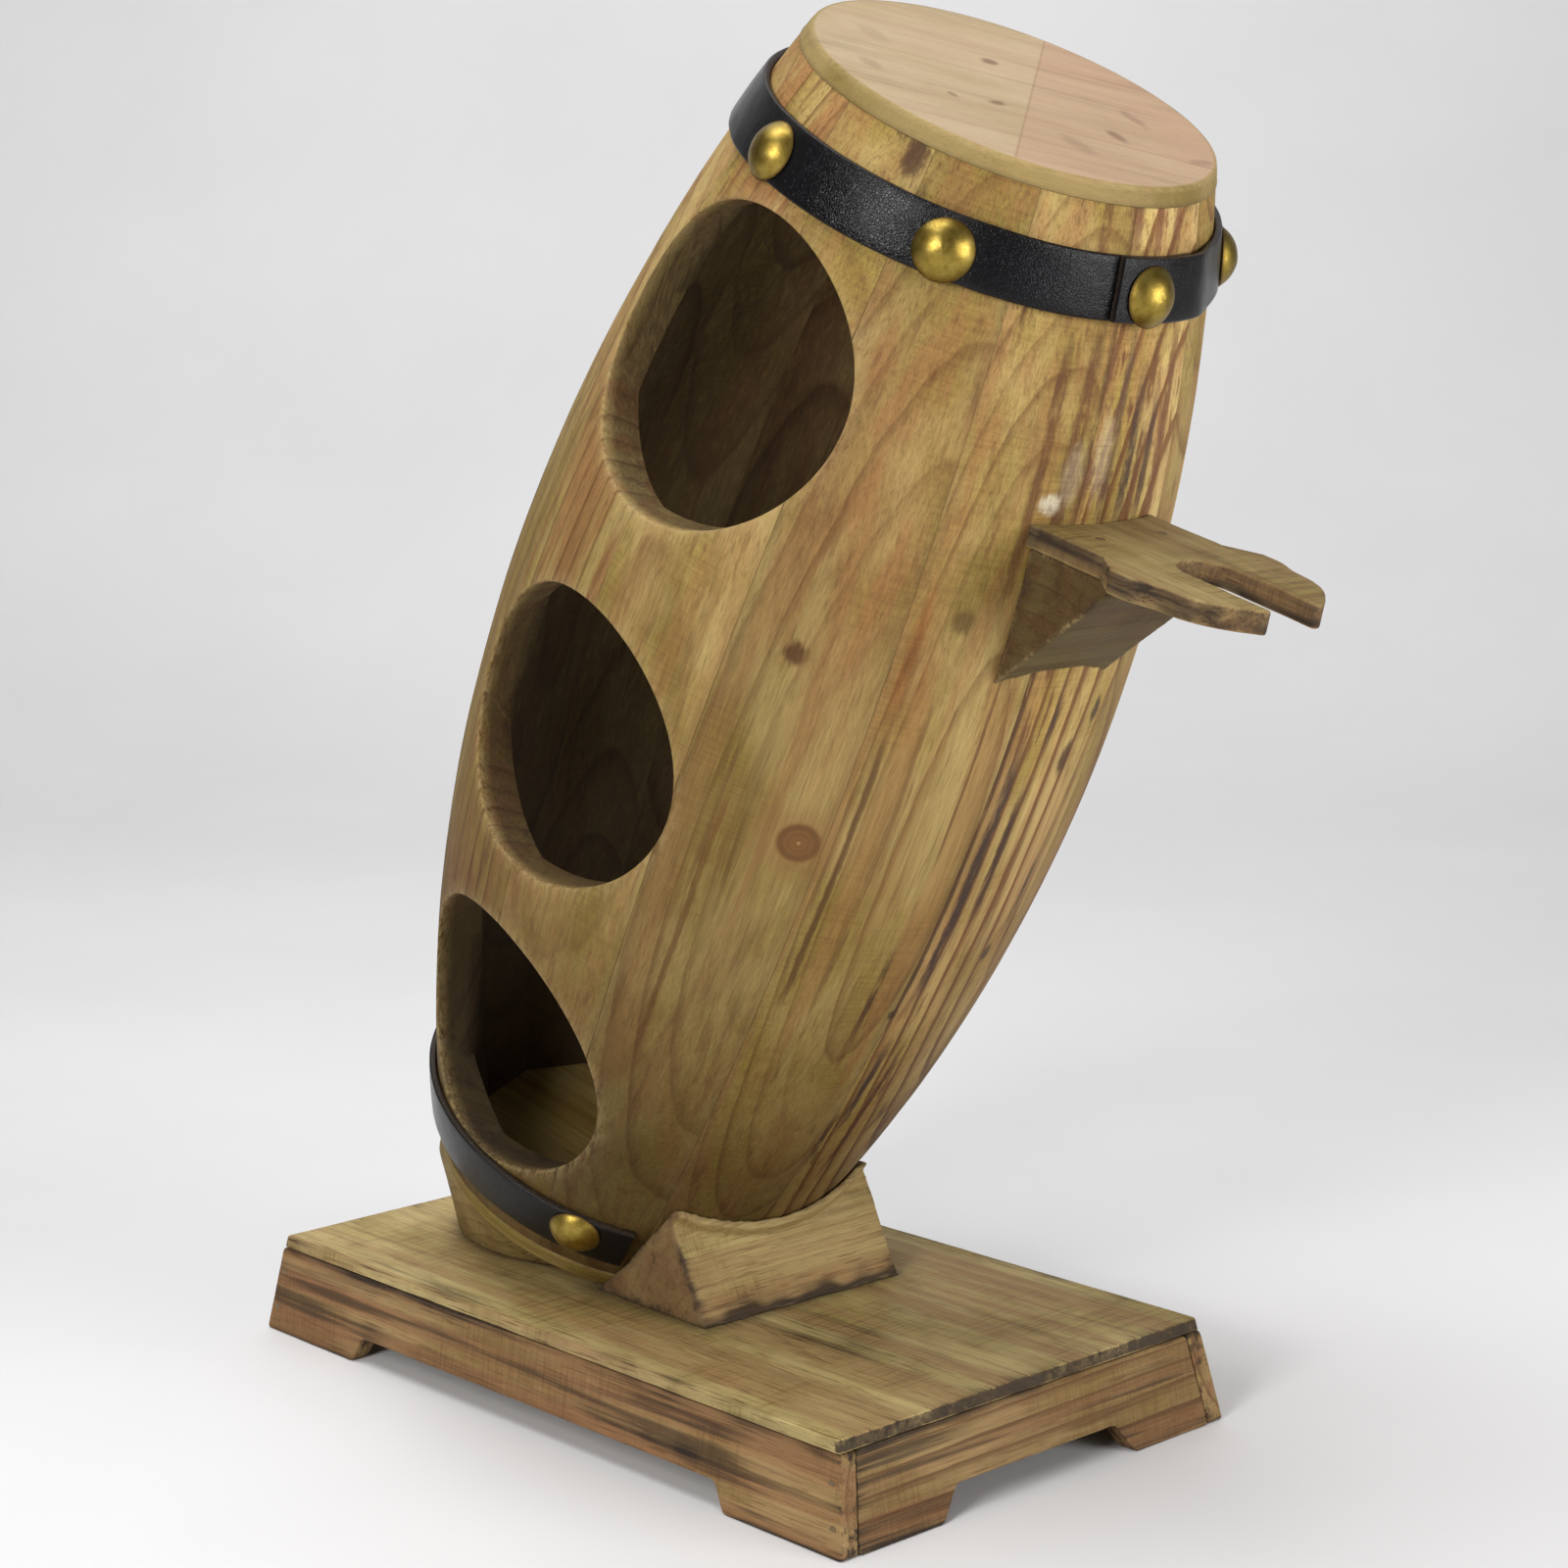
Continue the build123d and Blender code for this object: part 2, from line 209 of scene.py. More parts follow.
# ---- wood seen in three dimensions ----
def grain_of(points, across, depth, along, pith, spacing, phase, seed, tone):
    """What a wood material reads: where a point is in its plank, and from the plank's pith."""
    local = np.stack([points @ across, points @ depth, points @ along], 1)
    shift = random.Random(seed).uniform
    offset = np.array((shift(-400, 400), shift(-400, 400), shift(-900, 900)))
    ring = np.column_stack([(local[:, :2] - pith) / spacing, np.full(len(local), phase)])
    return {"ring": ring, "grain": local + offset, "tone": np.tile(tone, (len(local), 1))}


class Graph:
    """Short calls for building a material's nodes."""

    def __init__(self, name):
        self.material = bpy.data.materials.new(name)
        self.material.use_nodes = True
        self.tree = self.material.node_tree
        self.shader = self.tree.nodes["Principled BSDF"]

    def node(self, kind, inputs=None, **settings):
        made = self.tree.nodes.new(kind)
        for key, value in settings.items():
            setattr(made, key, value)
        for key, value in (inputs or {}).items():
            self.feed(made.inputs[key], value)
        return made

    def feed(self, socket, value):
        if isinstance(value, bpy.types.NodeSocket):
            self.tree.links.new(value, socket)
        else:
            socket.default_value = value

    def math(self, operation, a, b=0.0, c=0.0, clamp=False):
        made = self.node(
            "ShaderNodeMath", {0: a, 1: b, 2: c}, operation=operation, use_clamp=clamp
        )
        return made.outputs[0]

    def add(self, a, b, clamp=False):
        return self.math("ADD", a, b, clamp=clamp)

    def sub(self, a, b):
        return self.math("SUBTRACT", a, b)

    def mul(self, a, b, clamp=False):
        return self.math("MULTIPLY", a, b, clamp=clamp)

    def mul_add(self, a, b, c):
        return self.math("MULTIPLY_ADD", a, b, c)

    def length(self, a, b):
        return self.math("SQRT", self.add(self.mul(a, a), self.mul(b, b)))

    def vector(self, operation, a, b):
        return self.node("ShaderNodeVectorMath", {0: a, 1: b}, operation=operation).outputs[0]

    def scaled(self, vector, factors):
        return self.vector("MULTIPLY", vector, factors)

    def noise(self, vector, scale=1.0, detail=3.0, rough=0.5, colour=False):
        inputs = {"Vector": vector, "Scale": scale, "Detail": detail, "Roughness": rough}
        made = self.node("ShaderNodeTexNoise", inputs)
        return made.outputs["Color" if colour else "Fac"]

    def attribute(self, name, output="Vector"):
        return self.node("ShaderNodeAttribute", attribute_name=name).outputs[output]

    def paint(self):
        """The painted masks. On wood: charcoal, pink and wear."""
        return self.node("ShaderNodeSeparateColor", {0: self.attribute("paint", "Color")}).outputs

    def split(self, vector):
        made = self.node("ShaderNodeSeparateXYZ", {0: vector})
        return made.outputs[0], made.outputs[1], made.outputs[2]

    def step(self, value, low, high, to_low=0.0, to_high=1.0):
        """Goes smoothly from to_low at low to to_high at high."""
        inputs = {0: value, 1: low, 2: high, 3: to_low, 4: to_high}
        made = self.node("ShaderNodeMapRange", inputs, interpolation_type="SMOOTHSTEP")
        return made.outputs[0]

    def ramp(self, value, stops):
        made = self.node("ShaderNodeValToRGB", {0: value})
        elements, stops = made.color_ramp.elements, list(stops)
        while len(elements) < len(stops):
            elements.new(0.5)
        for element, (at, colour) in zip(elements, stops):
            element.position = at
            element.color = (*(colour if isinstance(colour, tuple) else (colour,) * 3), 1.0)
        return made.outputs[0]

    def mix(self, factor, a, b, blend="MIX"):
        made = self.node("ShaderNodeMix", {0: factor}, data_type="RGBA", blend_type=blend)
        for socket, colour in zip(made.inputs[6:8], (a, b)):
            linked = isinstance(colour, bpy.types.NodeSocket)
            self.feed(socket, colour if linked else (*colour, 1.0))
        return made.outputs[2]

    def bump(self, height, strength, distance, normal=None):
        inputs = {"Height": height, "Strength": strength, "Distance": distance}
        if normal is not None:
            inputs["Normal"] = normal
        return self.node("ShaderNodeBump", inputs).outputs[0]

    def finish(self, colour, roughness, normal, **fixed):
        for key, value in (("Base Color", colour), ("Roughness", roughness), ("Normal", normal)):
            self.feed(self.shader.inputs[key], value)
        for key, value in fixed.items():
            self.shader.inputs[key.replace("_", " ")].default_value = value
        return self.material


class WoodGraph(Graph):
    """The nodes of stained softwood, which read a piece's own attributes."""

    def __init__(self, name):
        super().__init__(name)
        self.grain = self.attribute("grain")

    def grained(self, across, along, detail=3.0, rough=0.5, colour=False):
        """Noise drawn out along the grain. across and along are its frequencies per millimetre."""
        stretched = self.scaled(self.grain, (across, across, along))
        return self.noise(stretched, detail=detail, rough=rough, colour=colour)

    def latewood(self, contrast):
        """The dark line that closes each year's ring, from a point's distance to the pith."""
        drift = self.grained(0.022, 0.0065, 2.0, colour=True)
        drift = self.scaled(self.vector("SUBTRACT", drift, (0.5, 0.5, 0.5)), (0.9, 0.9, 0.0))
        ring_x, ring_y, phase = self.split(self.vector("ADD", self.attribute("ring"), drift))
        ripple = self.grained(0.25, 0.02)
        turn = self.add(self.add(self.length(ring_x, ring_y), phase), self.mul(ripple, 0.16))
        late = self.ramp(self.math("FRACT", turn), LATEWOOD)
        year = {"W": self.math("FLOOR", turn)}
        own = self.node("ShaderNodeTexWhiteNoise", year, noise_dimensions="1D").outputs["Value"]
        late = self.mul(late, self.mul_add(own, 0.65, 0.35))
        return self.mul(late, contrast, clamp=True)

    def streaks(self, colour, marks, turned, along, wobble, rough_edge):
        """Long stains that run with the grain: angle, low, high, width, strength, colour."""
        for angle, low, high, width, strength, colour_to in marks:
            gone = self.math("ABSOLUTE", self.sub(self.add(turned, self.mul(wobble, 0.5)), angle))
            gone = self.add(gone, self.mul(rough_edge, width * 0.9))
            band = self.step(gone, width * 0.45, width * 1.25, 1.0, 0.0)
            band = self.mul(band, self.step(along, low - 9.0, low + 9.0))
            full = min(1.0, 1.25 * strength)
            band = self.mul(band, self.step(along, high - 9.0, high + 9.0, full, 0.0))
            broken = self.step(self.grained(0.3, 0.028, 4.0, 0.65), 0.30, 0.48)
            colour = self.mix(self.mul(band, broken, clamp=True), colour, colour_to)
        return colour

    def spots(self, colour, blots, turned, along, rough_edge):
        """Ragged spots: angle, distance along, half width, half height, strength, colour."""
        for angle, at, wide, tall, strength, colour_to in blots:
            dx = self.mul(self.sub(turned, angle), 1.0 / wide)
            dz = self.mul(self.sub(along, at), 1.0 / tall)
            gone = self.add(self.length(dx, dz), self.mul(rough_edge, 0.75))
            colour = self.mix(self.step(gone, 0.45, 1.15, strength, 0.0), colour, colour_to)
        return colour

    def eyes(self, colour, knots, turned, along, wobble):
        """Knots: angle, distance along, radius."""
        for angle, at, size in knots:
            dx, dz = self.mul(self.sub(turned, angle), 1.40), self.sub(along, at)
            gone = self.add(self.length(dx, dz), self.mul(wobble, 0.25))
            gone = self.mul(gone, 1.0 / size)
            face = self.ramp(gone, KNOT_RINGS)
            colour = self.mix(self.step(gone, 0.78, 1.02, 0.95, 0.0), colour, face)
            colour = self.mix(self.step(gone, 0.95, 2.2, 0.45, 0.0), colour, KNOT_HALO)
        return colour


# Stain colours, linear: pale wood, olive stain, pink wood and latewood of each kind of piece.
BARREL = (0.398, 0.290, 0.108), (0.268, 0.193, 0.044), (0.300, 0.150, 0.054), (0.115, 0.046, 0.014)
BLOCK = (0.410, 0.322, 0.135), (0.285, 0.216, 0.070), (0.270, 0.150, 0.065), (0.120, 0.055, 0.022)
SKIRT = (0.400, 0.265, 0.120), (0.290, 0.185, 0.066), (0.300, 0.145, 0.070), (0.135, 0.060, 0.025)
HEAD = (0.560, 0.435, 0.280), (0.500, 0.380, 0.225), (0.520, 0.330, 0.225), (0.330, 0.190, 0.105)
UMBER = (0.135, 0.062, 0.024)
CHARCOAL = (0.028, 0.018, 0.012)
ORANGE = (0.270, 0.100, 0.028)
WORN = (0.50, 0.37, 0.18)
# the colour of dirt, and of painted shade in recesses and where parts meet
DIRT_AND_SHADE = (0.050, 0.036, 0.024)
LATEWOOD = (
    (0.0, 0.12), (0.05, 0.0), (0.45, 0.04), (0.74, 0.22), (0.90, 0.80), (0.955, 1.0), (1.0, 0.14)
)
KNOT_HALO = (0.20, 0.105, 0.036)
KNOT_RINGS = (
    (0.0, (0.34, 0.22, 0.12)), (0.07, (0.26, 0.14, 0.06)), (0.12, (0.085, 0.028, 0.009)),
    (0.30, (0.125, 0.043, 0.013)), (0.40, (0.065, 0.021, 0.007)), (0.52, (0.115, 0.040, 0.013)),
    (0.66, (0.040, 0.012, 0.005)), (0.80, (0.060, 0.018, 0.007)), (1.0, (0.17, 0.080, 0.026)),
)


def wood(
    name, marks=(), knots=(), blots=(), saw=0.0, palette=BARREL, figure=1.0, joint=None, burn=0.16
):
    """Stained softwood. The attribute "tone" holds pink, ring contrast and lightness, which on the
    staves also carries painted shade and light along the barrel, and "paint" holds charcoal, pink,
    wear, and grime with painted shade in recesses and where parts meet. marks, knots and blots are
    single features, placed in the piece's "unrolled" coordinates: an angle and a distance along the
    axis on the barrel, two distances on a head. joint = (angle, offset) of a glue line across a
    head."""
    pale, olive, rose, late_colour = palette
    g = WoodGraph(name)
    char_in, pink_in, wear_in = g.paint()
    grime_and_shade_in = g.attribute("paint", "Alpha")
    pink_tone, contrast, light = g.split(g.attribute("tone"))
    late = g.latewood(contrast)
    fibre = g.grained(1.5, 0.030, 5.0, 0.62)
    hair = g.grained(3.6, 0.075, 3.0, 0.6)
    broad = g.grained(0.055, 0.0085)
    cloud = g.grained(0.035, 0.018, 4.0, 0.6)
    speck = g.grained(0.9, 0.22, 4.0, 0.7)
    if marks or knots or blots:
        turned, along, _ = g.split(g.attribute("unrolled"))
        wobble = g.mul_add(g.grained(0.05, 0.02), 2.4, -1.2)
        rough_edge = g.mul_add(speck, 1.5, -0.75)

    # the stain under everything, pinker in bands, and a head's two planks
    colour = g.mix(g.step(cloud, 0.36, 0.66), pale, olive)
    bands = g.step(g.grained(0.16, 0.0028, 2.5), 0.43, 0.62)
    pinkness = g.add(g.mul(bands, pink_tone), pink_in, clamp=True)
    if joint:
        angle, offset = math.radians(joint[0]), joint[1]
        past = g.add(g.mul(turned, math.cos(angle)), g.mul(along, math.sin(angle)))
        past = g.sub(past, offset)
        pinkness = g.add(pinkness, g.step(past, -0.4, 0.4, 0.0, 0.55), clamp=True)
    colour = g.mix(g.mul(pinkness, 0.90), colour, rose)
    if joint:
        glue = g.step(g.math("ABSOLUTE", past), 0.10, 0.45, 0.45, 0.0)
        colour = g.mix(glue, colour, late_colour)
        rim = g.step(g.length(turned, along), END_R - 1.2, END_R - 0.3, 0.0, 0.92)
        rim_colour = g.mix(g.step(cloud, 0.38, 0.62), BARREL[0], BARREL[1])
        colour = g.mix(rim, colour, rim_colour)

    # umber in the grain, then the year rings
    umber = g.step(g.grained(0.42, 0.0085, 4.0, 0.6), 0.53, 0.70)
    umber = g.mul(umber, g.step(cloud, 0.30, 0.60, 0.25, 0.85))
    reach = g.mul_add(contrast, 0.6 * figure, 0.25 * figure)
    colour = g.mix(g.mul(umber, reach, clamp=True), colour, UMBER)
    colour = g.mix(g.mul(late, 0.88), colour, late_colour)

    if marks or blots:
        colour = g.streaks(colour, marks, turned, along, wobble, rough_edge)
        colour = g.spots(colour, blots, turned, along, rough_edge)

    # lightness, with more blue lost than green where it is dark
    shade = g.mul_add(fibre, 0.85 * figure, 1.0 - 0.42 * figure)
    shade = g.mul(shade, g.mul_add(hair, 0.60 * figure, 1.0 - 0.30 * figure))
    shade = g.mul(shade, g.mul_add(broad, 0.50 * figure, 1.0 - 0.25 * figure))
    shade = g.mul(shade, g.step(g.grained(2.6, 0.55, 3.0, 0.7), 0.60, 0.74, 1.0, 0.66))
    # light is the piece's lightness, which on the staves carries painted shade, darker towards the
    # lower end
    shade = g.mul(shade, light)
    deep = {0: shade, 1: g.math("POWER", shade, 1.03), 2: g.math("POWER", shade, 1.18)}
    colour = g.mix(1.0, colour, g.node("ShaderNodeCombineColor", deep).outputs[0], "MULTIPLY")

    # saw marks and open pores, cut into the surface
    relief = g.mul_add(fibre, 0.6, g.mul(hair, 0.4))
    relief = g.mul_add(late, 0.25, relief)
    if saw:
        teeth = g.step(g.grained(0.05, 1.15, 3.0, 0.6), 0.46, 0.62)
        cut = g.mul(teeth, g.step(cloud, 0.42, 0.60, 0.0, saw))
        colour = g.mix(g.mul(cut, 0.55), colour, late_colour)
        relief = g.sub(relief, g.mul(cut, 0.8))
    pores = g.step(g.grained(1.7, 0.075, 2.0), 0.57, 0.66)
    pores = g.mul(pores, g.mul_add(char_in, 1.3, 0.22 * figure), clamp=True)
    colour = g.mix(pores, colour, UMBER)
    relief = g.sub(relief, g.mul(pores, 0.3))

    # charring, worn edges, dirt and painted shade, knots
    streak = g.grained(0.34, 0.0075, 3.0, 0.55)
    uneven = g.mul_add(streak, 1.0, g.mul(g.grained(0.06, 0.020, 2.0), 0.45))
    char = g.mul(g.step(uneven, 0.80 - 0.12 * burn, 0.96 - 0.08 * burn), burn)
    brushed = g.step(g.mul_add(char_in, 0.75, g.mul(streak, 0.8)), 0.62, 1.05)
    char = g.add(char, g.mul(brushed, 0.9), clamp=True)
    colour = g.mix(char, colour, CHARCOAL)
    worn = g.mul(wear_in, g.step(speck, 0.35, 0.62))
    colour = g.mix(g.mul(worn, 0.60), colour, WORN)
    # the grime channel paints dirt, and painted shade in recesses and where parts meet
    dirt_and_shade = g.mul(grime_and_shade_in, g.step(speck, 0.25, 0.60, 0.55, 1.0))
    colour = g.mix(dirt_and_shade, colour, DIRT_AND_SHADE)
    if knots:
        colour = g.eyes(colour, knots, turned, along, wobble)

    normal = g.bump(relief, 0.46, 0.0006)
    normal = g.bump(g.grained(0.12, 0.05, 4.0), 0.22, 0.0012, normal)
    rough = g.mul_add(fibre, 0.22, 0.47)
    rough = g.add(rough, g.mul(dirt_and_shade, 0.15), clamp=True)
    return g.finish(colour, rough, normal, Specular_IOR_Level=0.12)


# ---- staves ----
def bore_point(side, bore_s, grow, surface, turn):
    """A point of a bore's rim, as an angle round the barrel and a distance along it.
    surface = ("outer", how deep) or ("inner", the angle that the stave's flat back faces)."""
    w = -side * (BORE_R + grow) * np.cos(turn)
    s = bore_s + (BORE_R + grow) * np.sin(turn)
    kind, value = surface
    if kind == "outer":
        y = side * np.sqrt(np.maximum(radius(s, -value) ** 2 - w**2, 0.0))
    else:
        y = (radius(s, -WALL_T) - w * math.cos(value)) / math.sin(value)
    return np.degrees(np.arctan2(y, w)), s


HALVINGS = 44


def crossing(side, bore_s, grow, surface, angle, upper):
    """Where a bore's rim meets the joint at an angle, on its upper or its lower half."""
    low, high = (0.0, math.pi) if upper else (-math.pi, 0.0)
    rising = not upper
    for _ in range(HALVINGS):
        mid = (low + high) / 2
        at, _ = bore_point(side, bore_s, grow, surface, mid)
        if (at < angle) == rising:
            low = mid
        else:
            high = mid
    return (low + high) / 2


ARC_SPACING, END_SPACING, JOINT_SPACING = 1.3, 1.6, 2.6
MM_PER_DEGREE, UNROLL = 1.3, 1.4
STAVE_LIP, STAVE_SEAM = 0.95, 0.22
# Painted shade and light along the staves: heights along the barrel, and how light the wood is
# painted there, darker towards the lower end and lighter towards the top.
PAINTED_SHADE_ALONG = ((30, 80, 150, 220, 300, 360), (0.31, 0.32, 0.66, 0.82, 1.03, 1.14))
STRAP_STAINS = ((351.4, 5.0), (336.8, 4.0), (51.8, 5.0), (36.9, 4.0), (361.8, 2.2))


def stave_pieces(start, end, side):
    """The lengths that the bores leave of a stave, each as the bore below it, the bore above it,
    and the bores that only notch its start or its end."""
    pieces, below, left, right = [], None, [], []
    for bore_s in BORES:
        half = math.degrees(math.asin(BORE_R / float(radius(bore_s))))
        low, high = side * 90.0 - half, side * 90.0 + half
        at_start, at_end = low < start < high, low < end < high
        if at_start and at_end:
            pieces.append((below, bore_s, left, right))
            below, left, right = bore_s, [], []
        elif at_start:
            left = [*left, bore_s]
        elif at_end:
            right = [*right, bore_s]
    pieces.append((below, None, left, right))
    return pieces


def stave_outline(piece, start, end, side, surface, grow, inset, counts=None):
    """The outline of one length of stave on one of its surfaces, and which points lie on a bore.
    grow widens the bores and inset draws in the joints. counts fixes the points of each run."""
    below, above, left, right = piece
    pad = math.degrees(inset / 80.0)
    a, b = start + pad, end - pad
    path = []

    def cross(bore_s, angle, upper):
        """Where a rim meets a joint: its turn round the bore, and its distance along."""
        turn = crossing(side, bore_s, grow, surface, angle, upper)
        return turn, float(bore_point(side, bore_s, grow, surface, turn)[1])

    def arc(bore_s, from_turn, to_turn):
        count = abs(to_turn - from_turn) * BORE_R / ARC_SPACING
        path.append(("arc", bore_s, from_turn, to_turn, count))

    def across(s, from_angle, to_angle):
        path.append(("end", s, from_angle, to_angle, (b - a) / END_SPACING))

    def up_joint(angle, notches, low, high, down):
        at = low
        runs = []
        for bore_s in notches:
            lower, s_lower = cross(bore_s, angle, False)
            upper, s_upper = cross(bore_s, angle, True)
            runs.append(("joint", angle, at, s_lower))
            runs.append(("arc", bore_s, lower if down else lower + 2 * math.pi, upper))
            at = s_upper
        runs.append(("joint", angle, at, high))
        if down:
            runs = [(k, v, q, p) for k, v, p, q in reversed(runs)]
        for kind, value, p, q in runs:
            if kind == "joint":
                path.append(("joint", value, p, q, abs(q - p) / JOINT_SPACING))
            else:
                arc(value, p, q)

    if below is None:
        s_lo_a = s_lo_b = STAVE_LOW + inset
        across(s_lo_a, a, b)
    else:
        (turn_a, s_lo_a), (turn_b, s_lo_b) = cross(below, a, True), cross(below, b, True)
        arc(below, turn_a, turn_b)
    if above is None:
        s_hi_a = s_hi_b = STAVE_HIGH - inset
    else:
        (turn_a, s_hi_a), (turn_b, s_hi_b) = cross(above, a, False), cross(above, b, False)
    up_joint(b, right, s_lo_b, s_hi_b, False)
    if above is None:
        across(s_hi_a, b, a)
    else:
        arc(above, turn_b, turn_a)
    up_joint(a, left, s_lo_a, s_hi_a, True)

    angles, heights, on_bore, used = [], [], [], []
    for number, (kind, value, p, q, size) in enumerate(path):
        count = counts[number] if counts else max(3, int(round(size)))
        used.append(count)
        at = p + (q - p) * np.arange(count) / count
        if kind == "arc":
            th, s = bore_point(side, value, grow, surface, at)
        elif kind == "joint":
            th, s = np.full(count, value), at
        else:
            th, s = at, np.full(count, value)
        angles.append(th)
        heights.append(s)
        on_bore.append(np.full(count, 1.0 if kind == "arc" else 0.0))
    # the point where an arc ends is the next run's first point, and belongs to the bore too
    mask = np.concatenate(on_bore)
    return np.concatenate(angles), np.concatenate(heights), np.maximum(mask, np.roll(mask, 1)), used


def stave_mesh(name, piece, start, end, side, look):
    centre = math.radians((start + end) / 2)

    # the surfaces are filled in a plane where an angle counts as so many millimetres
    def outer(points):
        return barrel_at(radius(points[:, 1]), points[:, 0] / UNROLL, points[:, 1])

    def inner(points):
        th, s = points[:, 0] / UNROLL, points[:, 1]
        return barrel_at(radius(s, -WALL_T) / np.cos(np.radians(th) - centre), th, s)

    def outline(surface, grow, inset, counts=None):
        return stave_outline(piece, start, end, side, surface, grow, inset, counts)

    th, s, _, counts = outline(("outer", 0.0), STAVE_LIP, STAVE_SEAM)
    top_outline = np.stack([th * UNROLL, s], 1)
    rims = []
    for left, sunk in ROUNDING[1:]:
        surface = ("outer", STAVE_LIP * sunk)
        th, s, soft, _ = outline(surface, STAVE_LIP * left, STAVE_SEAM * left, counts)
        for _ in range(2):
            soft = np.maximum(soft, (np.roll(soft, 1) + np.roll(soft, -1)) * 0.35)
        r = radius(s) - (STAVE_LIP * soft + STAVE_SEAM * (1 - soft)) * sunk
        rims.append(barrel_at(r, th, s))
    th, s, _, _ = outline(("inner", centre), 0.0, 0.0, counts)
    bottom_outline = np.stack([th * UNROLL, s], 1)
    first, last = rims[-1], inner(bottom_outline)
    rims += [first * (1 - t) + last * t for t in (0.33, 0.66)]
    verts, faces = shell(top_outline, outer, bottom_outline, inner, rims, 3.0, 7.0)

    # turned by hand: the outside is never quite true
    w, y, s, r = barrel_parts(verts)
    depth = radius(s) - r
    swell = wave(verts, 34.0, 3.0) * 0.16 + wave(verts, 9.0, 5.0) * 0.05
    skin = np.clip(1.0 - depth / 3.0, 0, 1)
    out = (w / r)[:, None] * ACROSS + (y / r)[:, None] * SIDE
    verts = verts + (skin * (swell - 0.2))[:, None] * out

    angle = np.degrees(np.arctan2(y, w))
    pith_angle, pith_out, spacing, phase, tone = look
    e = math.radians(pith_angle)
    tangent = np.array((-math.sin(e), math.cos(e), 0))
    outward = np.array((math.cos(e), math.sin(e), 0))
    pith = (0.0, BELLY_R + pith_out)
    local = np.stack([w, y, s], 1)
    attributes = grain_of(local, tangent, outward, np.array(Z), pith, spacing, phase, name, tone)
    # painted shade and light: the staves are painted darker towards the lower end and lighter
    # towards the top
    attributes["tone"][:, 2] *= np.interp(s, *PAINTED_SHADE_ALONG)
    attributes["unrolled"] = np.stack([angle, s, depth], 1)
    attributes["paint"] = stave_paint(w, s, depth, angle, verts, start, end)
    return place(name, verts, faces, attributes, 50.0)


def stave_paint(w, s, depth, angle, verts, start, end):
    """Charcoal, pink, wear, and grime and painted shade of a stave's points."""
    to_bore = np.min([np.abs(np.hypot(w, s - bore_s) - BORE_R) for bore_s in BORES], axis=0)
    off = [np.abs((angle - joint + 180) % 360 - 180) for joint in (start, end)]
    off = np.minimum(*off) * MM_PER_DEGREE
    patchy = patches(verts, 17.0, 8.0)
    charcoal = 0.10 * patchy
    # dark staining that the brush left along the straps and the bore rims, and darker towards the
    # lower end, partly stain and partly painted shade
    for s_edge, reach in STRAP_STAINS:
        charcoal += 0.45 * np.exp(-np.abs(s - s_edge) / reach) * patchy
    charcoal += 0.30 * np.exp(-to_bore / 6.0) * patches(verts, 12.0, 2.0) ** 2 * 2
    charcoal += 0.40 * np.clip((75.0 - s) / 60.0, 0, 1) * patchy
    pink = 0.10 + np.clip(wave(verts, 60.0, 4.0) * 0.9 + 0.10, 0, 1) * 0.6
    wear = 0.75 * np.exp(-to_bore / 1.3) + 0.10 * np.exp(-off / 0.8)
    wear *= depth < 1.2
    # painted shade on the sunk walls inside the bores and between staves, dark lines along the
    # joints, and grime and painted shade towards the lower end
    inside = np.clip((depth - 0.9) / 2.2, 0, 1)
    grime_and_shade = 0.62 * inside + 0.22 * np.exp(-off / 0.35) * (depth < 2)
    grime_and_shade += 0.10 * np.clip((120.0 - s) / 110.0, 0, 1)
    return np.clip(np.stack([charcoal, pink, wear, grime_and_shade], 1), 0, 1)


# Each stave's pith angle, pith distance outside the belly, ring spacing, phase and tone (pink,
# contrast, lightness).
LOOKS = {
    1: (24.0, 22.7, 5.75, 0.53, (0.50, 2.30, 1.42)),
    2: (36.0, -40.0, 5.2, 0.2, (0.50, 0.95, 1.00)),
    3: (60.0, 60.0, 6.0, 0.4, (0.45, 0.75, 1.00)),
    4: (95.0, -30.0, 5.0, 0.1, (0.55, 0.80, 1.00)),
    5: (118.0, 30.0, 6.2, 0.7, (0.40, 0.80, 1.00)),
    6: (146.0, 20.0, 5.4, 0.3, (0.50, 0.95, 0.99)),
    7: (170.0, -50.0, 4.6, 0.6, (0.45, 0.80, 1.01)),
    8: (203.0, 18.0, 6.4, 0.9, (0.60, 0.95, 0.99)),
    9: (225.0, 40.0, 4.8, 0.2, (0.50, 0.90, 1.00)),
    10: (-60.0, 30.0, 5.0, 0.5, (0.90, 0.95, 0.97)),
    11: (-78.0, 75.0, 9.0, 0.1, (0.45, 0.50, 1.03)),
    12: (-34.8, 25.4, 6.7, 0.50, (0.58, 0.62, 0.84)),
    13: (-14.5, 12.0, 4.6, 0.35, (0.56, 0.70, 1.03)),
}
BROWN, SCRAPED = (0.118, 0.051, 0.022), (0.46, 0.37, 0.24)
